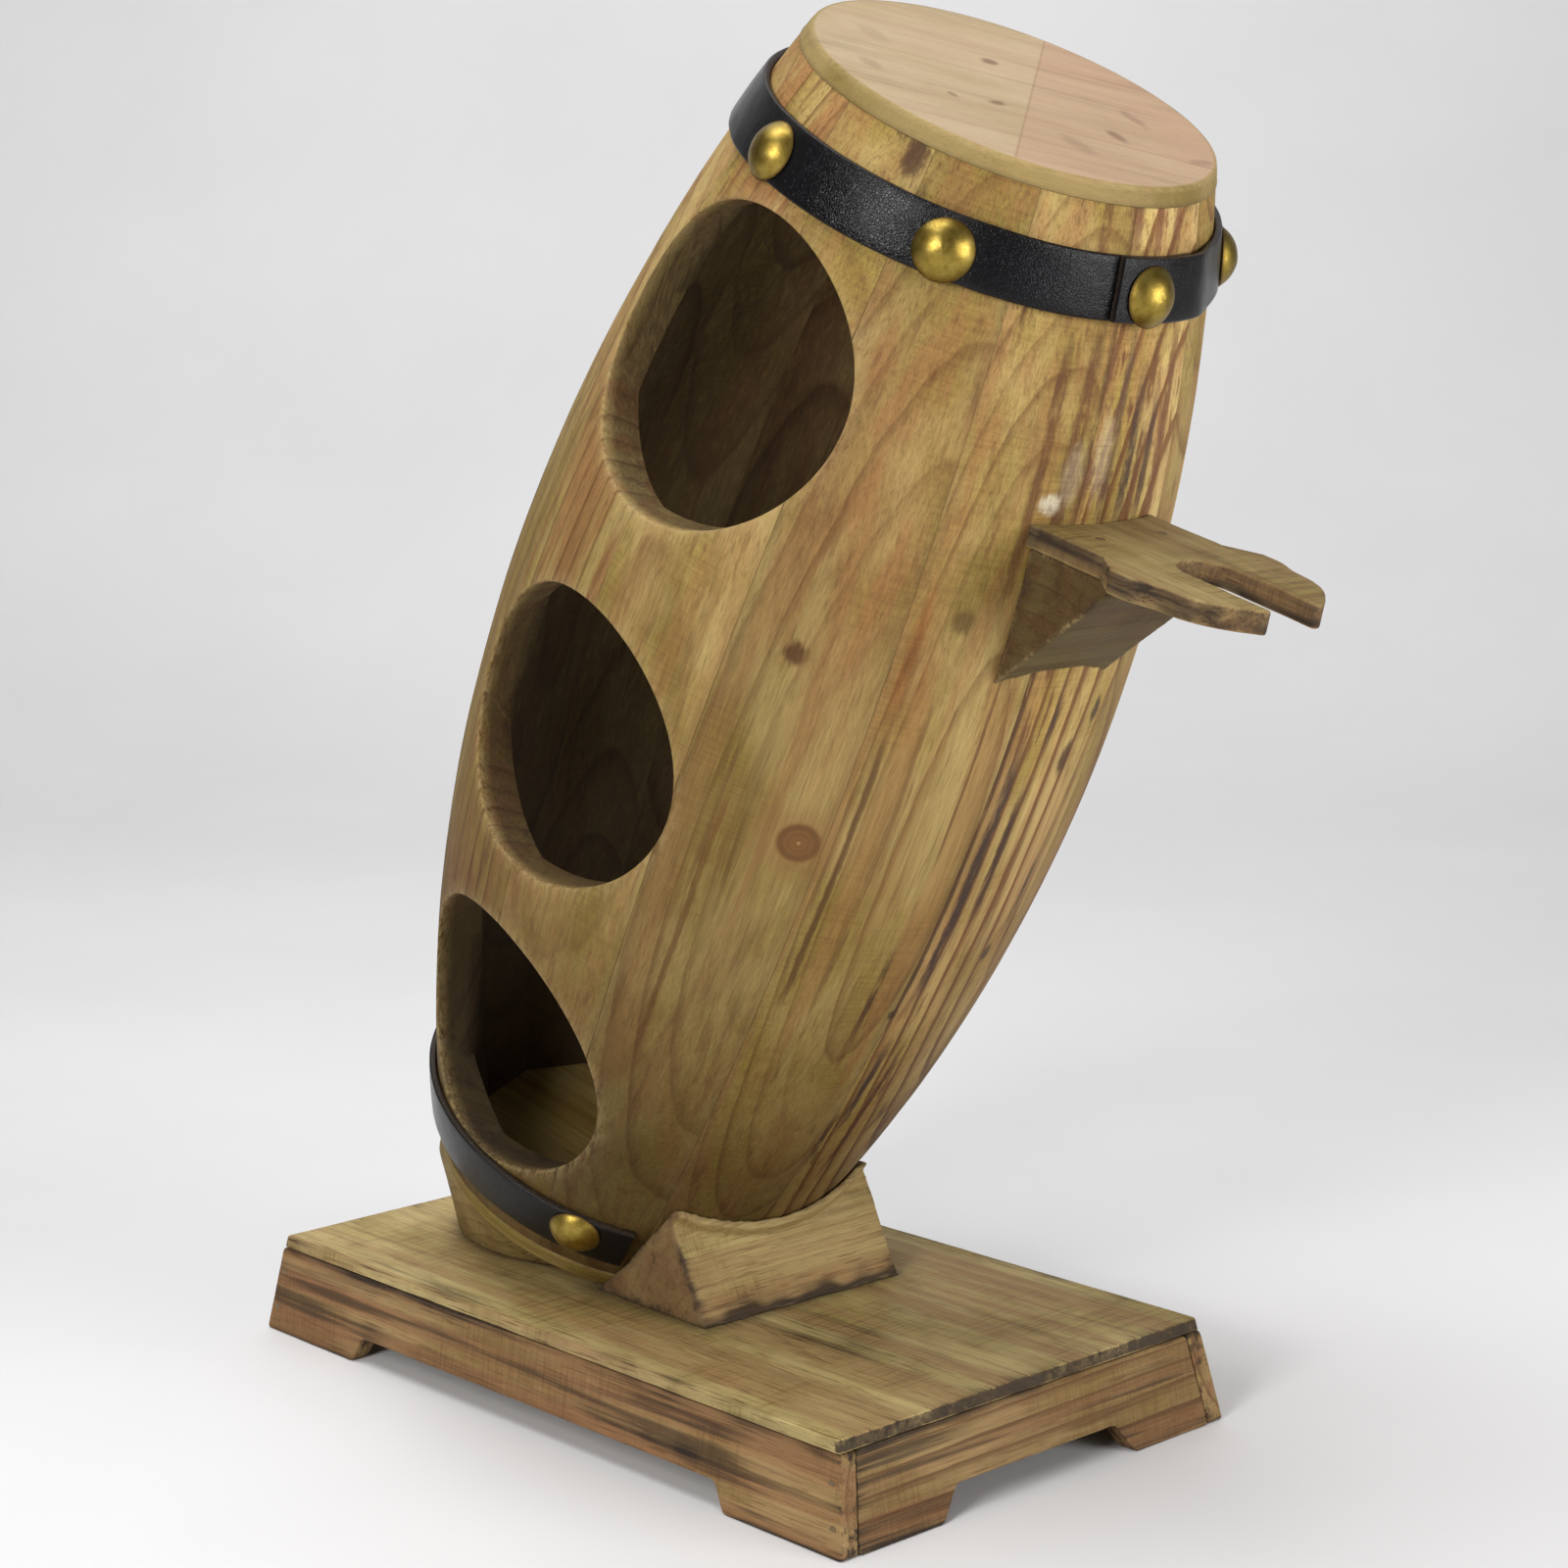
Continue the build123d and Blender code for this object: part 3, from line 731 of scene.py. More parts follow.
# Long stains on the barrel: angle, low, high, width, strength, colour.
MARKS = (
    (-6.2, 140.0, 262.0, 0.55, 0.85, (0.073, 0.035, 0.017)),
    (-3.0, 152.0, 226.0, 1.30, 0.92, (0.050, 0.030, 0.021)),
    (-3.2, 104.0, 132.0, 1.20, 0.80, (0.056, 0.031, 0.021)),
    (1.6, 175.0, 214.0, 1.10, 0.85, (0.059, 0.031, 0.018)),
    (1.4, 84.0, 130.0, 0.90, 0.75, (0.066, 0.022, 0.011)),
    (2.9, 229.0, 242.0, 0.70, 0.85, (0.046, 0.029, 0.019)),
    (-6.0, 88.0, 106.0, 0.80, 0.80, (0.053, 0.020, 0.011)),
    (16.0, 166.0, 190.0, 1.00, 0.75, (0.059, 0.031, 0.015)),
    (-13.4, 138.0, 166.0, 0.80, 0.70, (0.059, 0.029, 0.015)),
    (-30.6, 148.0, 228.0, 0.70, 0.60, (0.086, 0.037, 0.017)),
    (-31.5, 236.0, 268.0, 1.50, 0.42, ORANGE),
    (-27.5, 240.0, 252.0, 1.10, 0.30, ORANGE),
    (-53.0, 120.0, 205.0, 0.70, 0.50, (0.152, 0.058, 0.019)),
    (-12.8, 196.0, 250.0, 0.35, 0.55, (0.106, 0.048, 0.019)),
    (-18.5, 312.0, 326.0, 0.80, 0.60, (0.073, 0.030, 0.017)),
    (-24.5, 150.0, 236.0, 0.60, 0.40, (0.125, 0.055, 0.023)),
    (-1.0, 292.0, 334.0, 1.20, 0.60, (0.079, 0.043, 0.027)),
    (4.5, 290.0, 322.0, 1.50, 0.75, (0.056, 0.033, 0.023)),
    (-17.5, 268.0, 330.0, 1.30, 0.61, BROWN),
    (-11.0, 256.0, 334.0, 1.80, 0.70, BROWN),
    (-6.6, 290.0, 334.0, 1.40, 0.72, BROWN),
    (7.6, 246.0, 334.0, 1.30, 0.72, BROWN),
    (15.0, 262.0, 334.0, 1.70, 0.70, BROWN),
    (-15.0, 352.0, 367.0, 1.60, 0.65, BROWN),
    (-5.5, 352.0, 367.0, 2.10, 0.72, BROWN),
    (2.5, 352.0, 367.0, 1.50, 0.72, BROWN),
    (9.8, 352.0, 367.0, 2.10, 0.70, BROWN),
    (10.5, 290.0, 318.0, 1.30, 0.70, (0.059, 0.033, 0.023)),
)
# Spots on the barrel: angle, distance along, half width, half height, strength, colour.
BLOTS = (
    (-50.5, 243.5, 2.4, 3.6, 0.85, (0.092, 0.031, 0.013)),
    (-13.6, 293.0, 2.9, 2.9, 0.80, (0.620, 0.550, 0.400)),
    (16.5, 235.0, 1.6, 4.2, 0.85, (0.046, 0.025, 0.014)),
    (10.5, 223.0, 1.7, 6.0, 0.90, (0.056, 0.026, 0.013)),
    (13.0, 160.0, 1.4, 3.6, 0.85, (0.043, 0.024, 0.014)),
    (-24.0, 262.0, 2.6, 3.6, 0.60, (0.076, 0.040, 0.017)),
    (-6.8, 145.0, 1.0, 2.0, 0.80, (0.040, 0.022, 0.014)),
    (-10.0, 300.0, 3.0, 9.0, 0.42, SCRAPED),
    (-3.5, 305.0, 2.4, 12.0, 0.32, SCRAPED),
    (-66.0, 358.5, 3.6, 6.0, 0.90, (0.056, 0.028, 0.016)),
)
KNOTS = ((-38.7, 195.6, 6.2),)

barrel_wood = wood("stained barrel wood", MARKS, KNOTS, BLOTS, saw=0.35)
PLACES = ("bottom", "lower", "upper", "top")
pieces = []
for number in range(1, STAVES + 1):
    start = FIRST_JOINT + STEP * (number - 1)
    if start > 170.0:
        start -= 360.0
    end = start + STEP
    side = 1 if (start + end) / 2 > 0 else -1
    lengths = stave_pieces(start, end, side)
    for index, piece in enumerate(lengths):
        node = f"stave_{number:02d}" + (f"_{PLACES[index]}" if len(lengths) > 1 else "")
        made = stave_mesh("wood_" + node, piece, start, end, side, LOOKS[number])
        pieces.append((made, barrel_wood, "barrel_wood", (node,)))


# ---- heads ----
def turned_disc(name, profile, look, node, material, clip=False):
    """A disc turned on the barrel's axis, from a profile of (radius, distance along)."""
    around = 192
    turns = np.arange(around) * 360.0 / around
    last = len(profile) - 1
    rows = [barrel_at(r, turns, np.full(around, s)) for r, s in profile]
    centres = [barrel(0.0, 0.0, profile[row][1])[None] for row in (0, last)]
    verts = np.vstack(rows + centres)
    ring = [(i, (i + 1) % around) for i in range(around)]
    faces = []
    for a in range(0, last * around, around):
        faces += [[a + i, a + j, a + around + j, a + around + i] for i, j in ring]
    for row, centre in ((0, len(verts) - 2), (last, len(verts) - 1)):
        faces += [[row * around + i, row * around + j, centre] for i, j in ring]
    verts = verts + (wave(verts, 30.0, 6.0) * 0.10 - 0.1)[:, None] * ALONG
    obj = place(name, verts, faces, None, 50.0)
    if clip:
        bm = bmesh.new()
        bm.from_mesh(obj.data)
        cut = bmesh.ops.bisect_plane(
            bm, geom=bm.verts[:] + bm.edges[:] + bm.faces[:], dist=1e-7,
            plane_co=(0, 0, (PLINTH_TOP + GAP) * MM), plane_no=(0, 0, -1), clear_outer=True,
        )
        rim = [e for e in cut["geom_cut"] if isinstance(e, bmesh.types.BMEdge)]
        bmesh.ops.holes_fill(bm, edges=rim, sides=0)
        bmesh.ops.recalc_face_normals(bm, faces=bm.faces)
        bm.to_mesh(obj.data)
        bm.free()
        obj.data.set_sharp_from_angle(angle=math.radians(50.0))
    verts = points_of(obj)
    w, y, s, r = barrel_parts(verts)
    # the head's grain runs across the disc
    pith, spacing, phase, angle, tone, stain, side_dark = look
    c, q = math.cos(math.radians(angle)), math.sin(math.radians(angle))
    local = np.stack([w, y, s], 1)
    across, along = np.array((-q, c, 0)), np.array((c, q, 0))
    attributes = grain_of(local, across, np.array(Z), along, pith, spacing, phase, name, tone)
    high = profile[-1][1]
    rim = radius(np.clip(s, S_END, S_TOP)) - r
    on_side = np.clip(1.0 - np.abs(rim) / 0.8, 0, 1)
    charcoal = stain * np.exp(-np.maximum(rim, 0) / 2.0) * patches(verts, 14.0, 9.0)
    charcoal *= 1 - 0.7 * on_side
    attributes["tone"][:, 2] *= 1.0 - side_dark * np.clip(1.0 - np.abs(rim) / 0.35, 0, 1)
    attributes["unrolled"] = local
    to_joint = np.abs(s - (STAVE_LOW if clip else STAVE_HIGH))
    grime_and_shade = 0.65 * np.exp(-to_joint / 0.35) * on_side
    wear = 0.55 * np.exp(-np.abs(rim - 0.3) / 0.5) * (np.abs(s - high) < 0.8)
    pink = np.clip(wave(verts, 40.0, 1.0) * 0.8, 0, 1) * 0.7
    attributes["paint"] = np.clip(np.stack([charcoal, pink, wear, grime_and_shade], 1), 0, 1)
    put_all(obj.data, attributes)
    pieces.append((obj, material, "head_wood", (node,)))


def lipped(low, high, lip_low, lip_high, rows):
    """A disc's profile with rounded rims."""
    r_low, r_high = float(radius(low)), float(radius(high))
    profile = [(r_low * k / 26, low) for k in range(1, 26)]
    profile += [(r_low - lip_low * left, low + lip_low * sunk) for left, sunk in ROUNDING]
    for k in range(1, rows):
        s = low + lip_low + (high - lip_high - low - lip_low) * k / rows
        profile.append((float(radius(s)), s))
    profile += [(r_high - lip_high * left, high - lip_high * sunk) for left, sunk in ROUNDING[::-1]]
    profile += [((r_high - lip_high) * k / 30, high) for k in range(29, 0, -1)]
    return profile


SCUFF, BRUISE = (0.200, 0.105, 0.070), (0.300, 0.180, 0.125)
HEAD_BLOTS = (
    (-16.5, 6.0, 2.2, 2.8, 0.75, SCUFF), (7.8, -13.5, 1.6, 3.0, 0.70, SCUFF),
    (3.9, -25.1, 2.0, 1.4, 0.55, SCUFF), (13.7, 28.6, 5.5, 2.2, 0.55, BRUISE),
    (24.2, 12.6, 4.0, 2.4, 0.60, SCUFF), (37.6, 30.0, 2.0, 5.5, 0.55, BRUISE),
    (30.0, -6.0, 7.0, 3.5, 0.35, BRUISE), (-30.0, -22.0, 6.0, 4.0, 0.25, BRUISE),
    (-12.0, -38.0, 4.0, 3.0, 0.35, BRUISE),
)
GLUE_LINE = (42.8, 3.9)
# Each head's pith, ring spacing, phase, grain angle, tone, and how dark its rim and side are.
TOP_LOOK = ((4.0, S_TOP - 60.0), 7.5, 0.3, 62.0, (0.22, 0.20, 0.87), 0.35, 0.18)
BOTTOM_LOOK = ((-10.0, S_END - 40.0), 6.0, 0.6, 20.0, (0.35, 0.5, 0.80), 0.6, 0.2)
top_profile = lipped(STAVE_HIGH + 0.02, S_TOP, 0.28, 0.5, 4)
bottom_profile = lipped(S_END, STAVE_LOW - 0.02, 0.8, 0.28, 4)
head_wood = wood("stained head wood", blots=HEAD_BLOTS, palette=HEAD, figure=0.35, joint=GLUE_LINE)
end_wood = wood("stained end wood")
turned_disc("wood_top_head", top_profile, TOP_LOOK, "top_head", head_wood)
turned_disc("wood_bottom_head", bottom_profile, BOTTOM_LOOK, "bottom_head", end_wood, clip=True)


# ---- plinth ----
def half_x(z):
    return PLINTH_HALF_X + FLARE_X * (PLINTH_H - z) / PLINTH_H


def half_y(z):
    return PLINTH_HALF_Y + FLARE_Y * (PLINTH_H - z) / PLINTH_H


def rounded(corners, reach, spacing=2.2):
    """A closed outline with its corners cut by small arcs, sampled evenly, and its normals."""
    corners = [np.asarray(c, float) for c in corners]
    points = []
    count = len(corners)
    for i, corner in enumerate(corners):
        before, after = corners[i - 1], corners[(i + 1) % count]
        to_before = (before - corner) / np.linalg.norm(before - corner)
        to_after = (after - corner) / np.linalg.norm(after - corner)
        start, stop = corner + to_before * reach, corner + to_after * reach
        for t in (0.0, 0.33, 0.67, 1.0):
            points.append((1 - t) ** 2 * start + 2 * t * (1 - t) * corner + t * t * stop)
        gap = after - to_after * reach - stop
        steps = int(np.linalg.norm(gap) / spacing)
        points += [stop + gap * k / (steps + 1) for k in range(1, steps + 1)]
    points = np.array(points)
    return points, normals_of(points)


def normals_of(points):
    along = np.roll(points, -1, axis=0) - np.roll(points, 1, axis=0)
    out = np.stack([along[:, 1], -along[:, 0]], 1)
    out /= np.linalg.norm(out, axis=1)[:, None]
    x, y = points.T
    area = np.sum(x * np.roll(y, -1) - np.roll(x, -1) * y)
    return out if area > 0 else -out


def edge_rims(rim, thick, lip, middle):
    """The rims of a board's rounded edges, with more at the middle depths. rim takes an inset and
    a depth."""
    upper = [rim(lip * left, lip * sunk) for left, sunk in ROUNDING[1:]]
    lower = [rim(lip * left, thick - lip * sunk) for left, sunk in ROUNDING[:0:-1]]
    return upper + [rim(0.0, depth) for depth in middle] + lower


def plate(name, outline, to_row, thick, lip, spacing):
    """A board: an outline given a thickness, with rounded edges. to_row turns points and a depth
    into the row frame."""
    points, normals = outline

    def rim(inset, depth):
        return to_row(points - normals * inset, depth)

    rims = [rim(lip, 0.0), *edge_rims(rim, thick, lip, (thick / 2,)), rim(lip, thick)]
    # a flat margin keeps the shading of a face clear of its rounded edge
    inner = points - normals * (lip + FLAT_MARGIN)
    top, bottom = (lambda p: to_row(p, 0.0)), (lambda p: to_row(p, thick))
    verts, faces = shell(inner, top, inner, bottom, rims, spacing, spacing * 2)
    return place(name, verts, faces, None, 55.0)


def finish_wood(obj, node, wood_slot, grain, tone, edge_wear, charcoal, warp, extra):
    """Roughens a wooden piece, paints its edges and gives it its grain. grain = (axes across, in
    depth and along, pith, ring spacing, phase). extra gives more paint for points."""
    material, slot = wood_slot
    axes, pith, spacing, phase = grain
    verts = points_of(obj)
    mesh = obj.data
    normal = np.zeros(len(mesh.vertices) * 3, np.float32)
    mesh.vertices.foreach_get("normal", normal)
    normal = normal.reshape(-1, 3).astype(float)
    rough = wave(verts, 11.0, 2.5) * 0.6 + wave(verts, 3.0, 7.5) * 0.3 - 0.5
    verts = verts + normal * (rough * warp)[:, None]
    mesh.vertices.foreach_set("co", (verts * MM).ravel())
    mesh.update()
    # how sharply the skin turns at each point, from the spread of its neighbours' normals
    edges = np.zeros(len(mesh.edges) * 2, np.int32)
    mesh.edges.foreach_get("vertices", edges)
    edges = edges.reshape(-1, 2)
    turn = np.zeros(len(verts))
    for _ in range(2):
        bend = 1.0 - np.einsum("ij,ij->i", normal[edges[:, 0]], normal[edges[:, 1]])
        np.maximum.at(turn, edges[:, 0], bend)
        np.maximum.at(turn, edges[:, 1], bend)
    sharp = np.clip(turn * 5.0, 0, 1)
    spread = sharp.copy()
    for _ in range(3):
        near = np.zeros(len(verts))
        np.maximum.at(near, edges[:, 0], spread[edges[:, 1]])
        np.maximum.at(near, edges[:, 1], spread[edges[:, 0]])
        spread = np.maximum(spread, near * 0.72)
    patchy, fine = patches(verts, 13.0, 3.5), patches(verts, 5.0, 1.5)
    axes = [np.asarray(a, float) for a in axes]
    attributes = grain_of(verts, *axes, pith, spacing, phase, obj.name, tone)
    more = extra(verts)
    dark = charcoal * (0.35 * patchy + 0.9 * spread * patchy) + more["dark"]
    pink = np.clip(wave(verts, 38.0, 6.5) * 0.8, 0, 1) * 0.5 + more.get("pink", 0)
    wear = edge_wear * sharp * np.clip(fine * 2 - 0.7, 0, 1)
    grime_and_shade = 0.30 * spread * np.clip(1.3 - 2 * fine, 0, 1) + more["grime_and_shade"]
    attributes["paint"] = np.clip(np.stack([dark, pink, wear, grime_and_shade], 1), 0, 1)
    put_all(mesh, attributes)
    pieces.append((obj, material, slot, (node,)))


panel_wood = wood("stained panel wood", saw=0.6, palette=BLOCK, figure=0.9), "plinth_wood"
skirt_wood = wood("stained skirt wood", saw=0.7, palette=SKIRT, burn=0.68), "plinth_wood"
block_wood = wood("stained block wood", saw=0.9, palette=BLOCK, figure=0.8), "block_wood"

PANEL_CORNERS = [(-119.9, -66.4), (119.9, -66.4), (119.9, 66.4), (-119.9, 66.4)]
PANEL_T = PLINTH_TOP - SKIRT_TOP - 2 * GAP
BOARD_LIP, FLAT_MARGIN = 0.45, 0.25


def panel_row(points, depth):
    z = PLINTH_TOP - GAP - depth
    grow_x, grow_y = half_x(z) / PLINTH_HALF_X, half_y(z) / PLINTH_HALF_Y
    x, y = points[:, 0] * grow_x + PLINTH_X, points[:, 1] * grow_y
    return np.stack([x, y, np.full(len(x), z)], 1)


CRADLE_BACK, CRADLE_FRONT, CRADLE_HALF = -19.0, 35.8, 35.4
CRADLE_SKEW, CRADLE_SLOPE = 0.0332, 0.516


def near_blocks(verts):
    """Grime and painted shade where the barrel's blocks stand on the panel, darker on its sawn
    edges, and saw marks.
    """
    x, y, below = verts[:, 0] - PLINTH_X, verts[:, 1], PLINTH_TOP - verts[:, 2]
    top = np.abs(below) < 0.6
    middle, half = (CRADLE_BACK + CRADLE_FRONT) / 2, (CRADLE_FRONT - CRADLE_BACK) / 2
    off_x, off_y = np.maximum(np.abs(x - middle) - half, 0), np.maximum(np.abs(y) - CRADLE_HALF, 0)
    cradle = np.hypot(off_x, off_y)
    heel = np.maximum(np.hypot((x + 60) / 45, y / 33.5) - 1, 0) * 38
    # painted shade round the feet of the blocks
    close = np.exp(-np.minimum(cradle, heel) / 2.2) * top
    edge = np.minimum(PLINTH_HALF_X - np.abs(x), PLINTH_HALF_Y - np.abs(y))
    sawn = np.exp(-(((x - 62) / 34) ** 2) - ((y + 20) / 30) ** 2) * top
    wall = np.clip((below - 0.25) / 0.4, 0, 1) * (verts[:, 2] > SKIRT_TOP + 0.3)
    end = np.abs(x) > PLINTH_HALF_X - 0.6
    dark = 0.25 * np.exp(-edge / 3.0) * top + 0.30 * sawn + 0.5 * wall * end
    return {"grime_and_shade": 0.55 * close + wall * np.where(end, 0.72, 0.30), "dark": dark}


panel_outline = rounded(PANEL_CORNERS, 1.6, 2.6)
panel = plate("wood_plinth_panel", panel_outline, panel_row, PANEL_T, BOARD_LIP, 3.2)
grain, tone = ((Y, Z, X), (12.0, -34.0), 6.2, 0.35), (0.60, 0.22, 1.28)
finish_wood(panel, "plinth_panel", panel_wood, grain, tone, 0.12, 0.70, 0.10, near_blocks)

SKIRT_T = 6.0
seam_top = SKIRT_TOP - GAP


def skirt_outline(low, high, arch_foot, arch_top, arch_rise):
    """A skirt board: its half lengths at the floor and at the top, and the arch cut in its foot."""
    arch = [(-low, GAP), (-arch_foot, GAP), (-arch_top, arch_rise)]
    mirrored = [(-x, z) for x, z in reversed(arch)]
    return rounded([*arch, *mirrored, (high, seam_top), (-high, seam_top)], 1.5)


long_outline = skirt_outline(half_x(0.0) - GAP, half_x(25.0) - GAP, 81.5, 77.0, 7.5)
between = SKIRT_T + 0.08
short_outline = skirt_outline(half_y(0.0) - between, half_y(25.0) - between, 35.4, 29.4, 8.6)


def skirt_grime(verts):
    z = verts[:, 2]
    seam = np.abs(z - seam_top)
    dark = 0.30 * np.exp(-seam / 1.6) + 0.12 * np.exp(-z / 5.0)
    return {"dark": dark, "grime_and_shade": 0.25 * np.exp(-seam / 0.5)}


def long_row(way):
    def to_row(points, depth):
        x, z = points.T
        return np.stack([x + PLINTH_X, way * (half_y(z) - GAP - depth), z], 1)
    return to_row


def short_row(way):
    def to_row(points, depth):
        y, z = points.T
        return np.stack([way * (half_x(z) - GAP - depth) + PLINTH_X, y, z], 1)
    return to_row


long_look = (5.0, 2.6, (0.70, 0.95, 0.76), 0.35, 0.75)
short_look = (3.6, 2.4, (0.75, 1.20, 0.66), 0.40, 0.95)
for node, outline, to_row, depth_axis, along_axis, pith, phase, look in (
    ("skirt_front", long_outline, long_row(-1), Y, X, (9.0, -38.0), 0.1, long_look),
    ("skirt_back", long_outline, long_row(1), Y, X, (24.0, 94.0), 0.6, long_look),
    ("skirt_right", short_outline, short_row(1), X, Y, (-8.0, PLINTH_X + 106.0), 0.3, short_look),
    ("skirt_left", short_outline, short_row(-1), X, Y, (-8.0, PLINTH_X - 134.0), 0.8, short_look),
):
    rings, spacing, tone, edge_wear, charcoal = look
    board = plate(f"wood_{node}", outline, to_row, SKIRT_T - 2 * GAP, BOARD_LIP, spacing)
    grain = ((Z, depth_axis, along_axis), pith, rings, phase)
    finish_wood(board, node, skirt_wood, grain, tone, edge_wear, charcoal, 0.12, skirt_grime)


# ---- blocks: the CAD shape with its arrises worn ----
def worn_copy(name, node, voxel, rounds=4):
    """A node's CAD mesh with even small faces and its arrises rounded off."""
    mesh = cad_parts[node].data.copy()
    bm = bmesh.new()
    bm.from_mesh(mesh)
    bmesh.ops.remove_doubles(bm, verts=bm.verts, dist=2e-6)
    bmesh.ops.recalc_face_normals(bm, faces=bm.faces)
    bm.to_mesh(mesh)
    bm.free()
    rough = link(name + "_rough", mesh)
    remesh = rough.modifiers.new("remesh", "REMESH")
    remesh.mode = "VOXEL"
    remesh.voxel_size = voxel * MM
    dg = bpy.context.evaluated_depsgraph_get()
    made = bpy.data.meshes.new_from_object(rough.evaluated_get(dg))
    bpy.data.objects.remove(rough)
    made.name = name
    made.materials.clear()
    for key in [a.name for a in made.attributes if not (a.is_required or a.name.startswith("."))]:
        made.attributes.remove(made.attributes[key])
    bm = bmesh.new()
    bm.from_mesh(made)
    axes = {"use_axis_x": True, "use_axis_y": True, "use_axis_z": True}
    for _ in range(rounds):
        bmesh.ops.smooth_vert(bm, verts=bm.verts, factor=0.5, **axes)
    bm.to_mesh(made)
    bm.free()
    made.shade_smooth()
    return link(name, made)


def block_foot(verts):
    """Grime and painted shade along a block's foot and where it meets the barrel."""
    z = np.abs(verts[:, 2] - PLINTH_TOP)
    _, _, s, r = barrel_parts(verts)
    gap = np.abs(r - radius(np.clip(s, S_END, S_TOP)))
    grime_and_shade = 0.5 * np.exp(-z / 0.9) + 0.45 * np.exp(-gap / 0.8)
    return {"grime_and_shade": grime_and_shade, "dark": 0.35 * np.exp(-z / 3.0)}


def cradle_stain(verts):
    """The cradle's end is cross-cut and drinks the stain; a dark line runs up its front arris."""
    more = block_foot(verts)
    x, y, z = verts[:, 0] - PLINTH_X, verts[:, 1], verts[:, 2] - PLINTH_TOP
    slope = np.abs(x - CRADLE_FRONT - CRADLE_SKEW * y + CRADLE_SLOPE * z)
    from_end = y + CRADLE_HALF + CRADLE_SKEW * (x - CRADLE_FRONT)
    end = np.clip(1.3 - from_end / 0.7, 0, 1)
    patchy = patches(verts, 7.0, 4.5)
    line = np.exp(-slope / 0.8) * np.exp(-np.abs(from_end) / 0.9)
    foot = np.exp(-slope / 1.5) * np.exp(-np.maximum(z - 2.0, 0) / 7.0) * (1 - end)
    more["dark"] += (0.25 * end + 0.9 * line + 0.95 * foot) * patchy
    more["grime_and_shade"] += 0.30 * end + 0.80 * line * patchy
    more["pink"] = 0.75 * end + 0.9 * foot
    return more


def corbel_stain(verts):
    """The corbel's two sides are darker and pinker than its face."""
    more = block_foot(verts)
    side = np.clip((np.abs(verts[:, 1]) - 19.0) / 0.6, 0, 1)
    more["dark"] += 0.35 * side * patches(verts, 6.0, 4.5)
    more["pink"] = 0.5 * side
    return more


cradle_pith = (PLINTH_X + 40.0, PLINTH_TOP - 10.0)
heel_pith = (PLINTH_X - 60.0, PLINTH_TOP - 30.0)
corbel_pith = (PLINTH_X + 130.0, 180.0)
# Voxel size, pith, ring spacing, phase, tone, edge wear, charcoal, roughness and stain.
for node, voxel, pith, rings, phase, tone, *finish in (
    ("cradle_block", 0.7, cradle_pith, 3.4, 0.2, (0.40, 0.36, 0.90), 0.7, 0.45, 0.18, cradle_stain),
    ("heel_block", 0.9, heel_pith, 5.0, 0.7, (0.35, 0.60, 0.70), 0.6, 0.40, 0.18, block_foot),
    ("fork_corbel", 0.6, corbel_pith, 3.6, 0.4, (0.50, 0.50, 0.25), 1.0, 0.50, 0.20, corbel_stain),
):
    worn = worn_copy(f"wood_{node}", node, voxel)
    finish_wood(worn, node, block_wood, ((X, Z, Y), pith, rings, phase), tone, *finish)


# ---- glass shelf ----
FORK_SLOPE = math.radians(16.0)
FORK_AT = np.array((PLINTH_X + 142.9, 0.0, PLINTH_TOP + 219.6))
FORK_T = 6.0
FORK_OUT = np.array((math.cos(FORK_SLOPE), 0.0, -math.sin(FORK_SLOPE)))
FORK_UP = np.array((math.sin(FORK_SLOPE), 0.0, math.cos(FORK_SLOPE)))


def fork_row(points, depth):
    """Points of the shelf's upper face, and a depth below it, in the row frame."""
    return FORK_AT + points[:, :1] * FORK_OUT + points[:, 1:] * SIDE - depth * FORK_UP


def smooth_run(points, steps):
    """A curve through the points."""
    p = np.array(points, float)
    p = np.vstack([2 * p[0] - p[1], p, 2 * p[-1] - p[-2]])
    made = []
    for a, b, c, d in zip(p, p[1:], p[2:], p[3:]):
        for t in np.arange(steps) / steps:
            square, cube = 2 * a - 5 * b + 4 * c - d, 3 * b - a - 3 * c + d
            made.append(0.5 * (2 * b + (c - a) * t + square * t * t + cube * t**3))
    return made


def touch_barrel(v, depth):
    """How far back the shelf reaches the barrel, at a distance v from its middle."""
    low, high = -40.0, 10.0
    for _ in range(HALVINGS):
        mid = (low + high) / 2
        _, _, s, r = barrel_parts(fork_row(np.array([[mid, v]]), depth))
        if r[0] > float(radius(s[0])):
            high = mid
        else:
            low = mid
    return (low + high) / 2


def fork_back(depth):
    return [touch_barrel(v, depth) for v in BACK_AT]


def fork_outline(depth):
    """The shelf's outline: its back against the barrel, then one arm, then its mirror image."""
    back = np.stack([fork_back(depth), BACK_AT], 1)
    side = [(u, FORK_HALF) for u in np.linspace(back[-1, 0], FORK_NECK, 14)[1:]]
    slope = [(FORK_NECK + 8.2 * t, FORK_HALF + 6.0 * t) for t in (0.3, 0.65)]
    shoulder = smooth_run(FORK_SHOULDER, 4)
    slot = [(u, SLOT_R) for u in np.linspace(SLOT_MOUTH, SLOT_SEAT + 2.0, 13)]
    turns = np.linspace(math.pi / 2, math.pi, 9)
    seat = [(SLOT_SEAT + SLOT_R * math.cos(t), SLOT_R * math.sin(t)) for t in turns]
    half = np.array([*side, *slope, *shoulder, *FORK_TIP, *slot, *seat])
    return np.vstack([back, half, half[-2::-1] * (1, -1)])


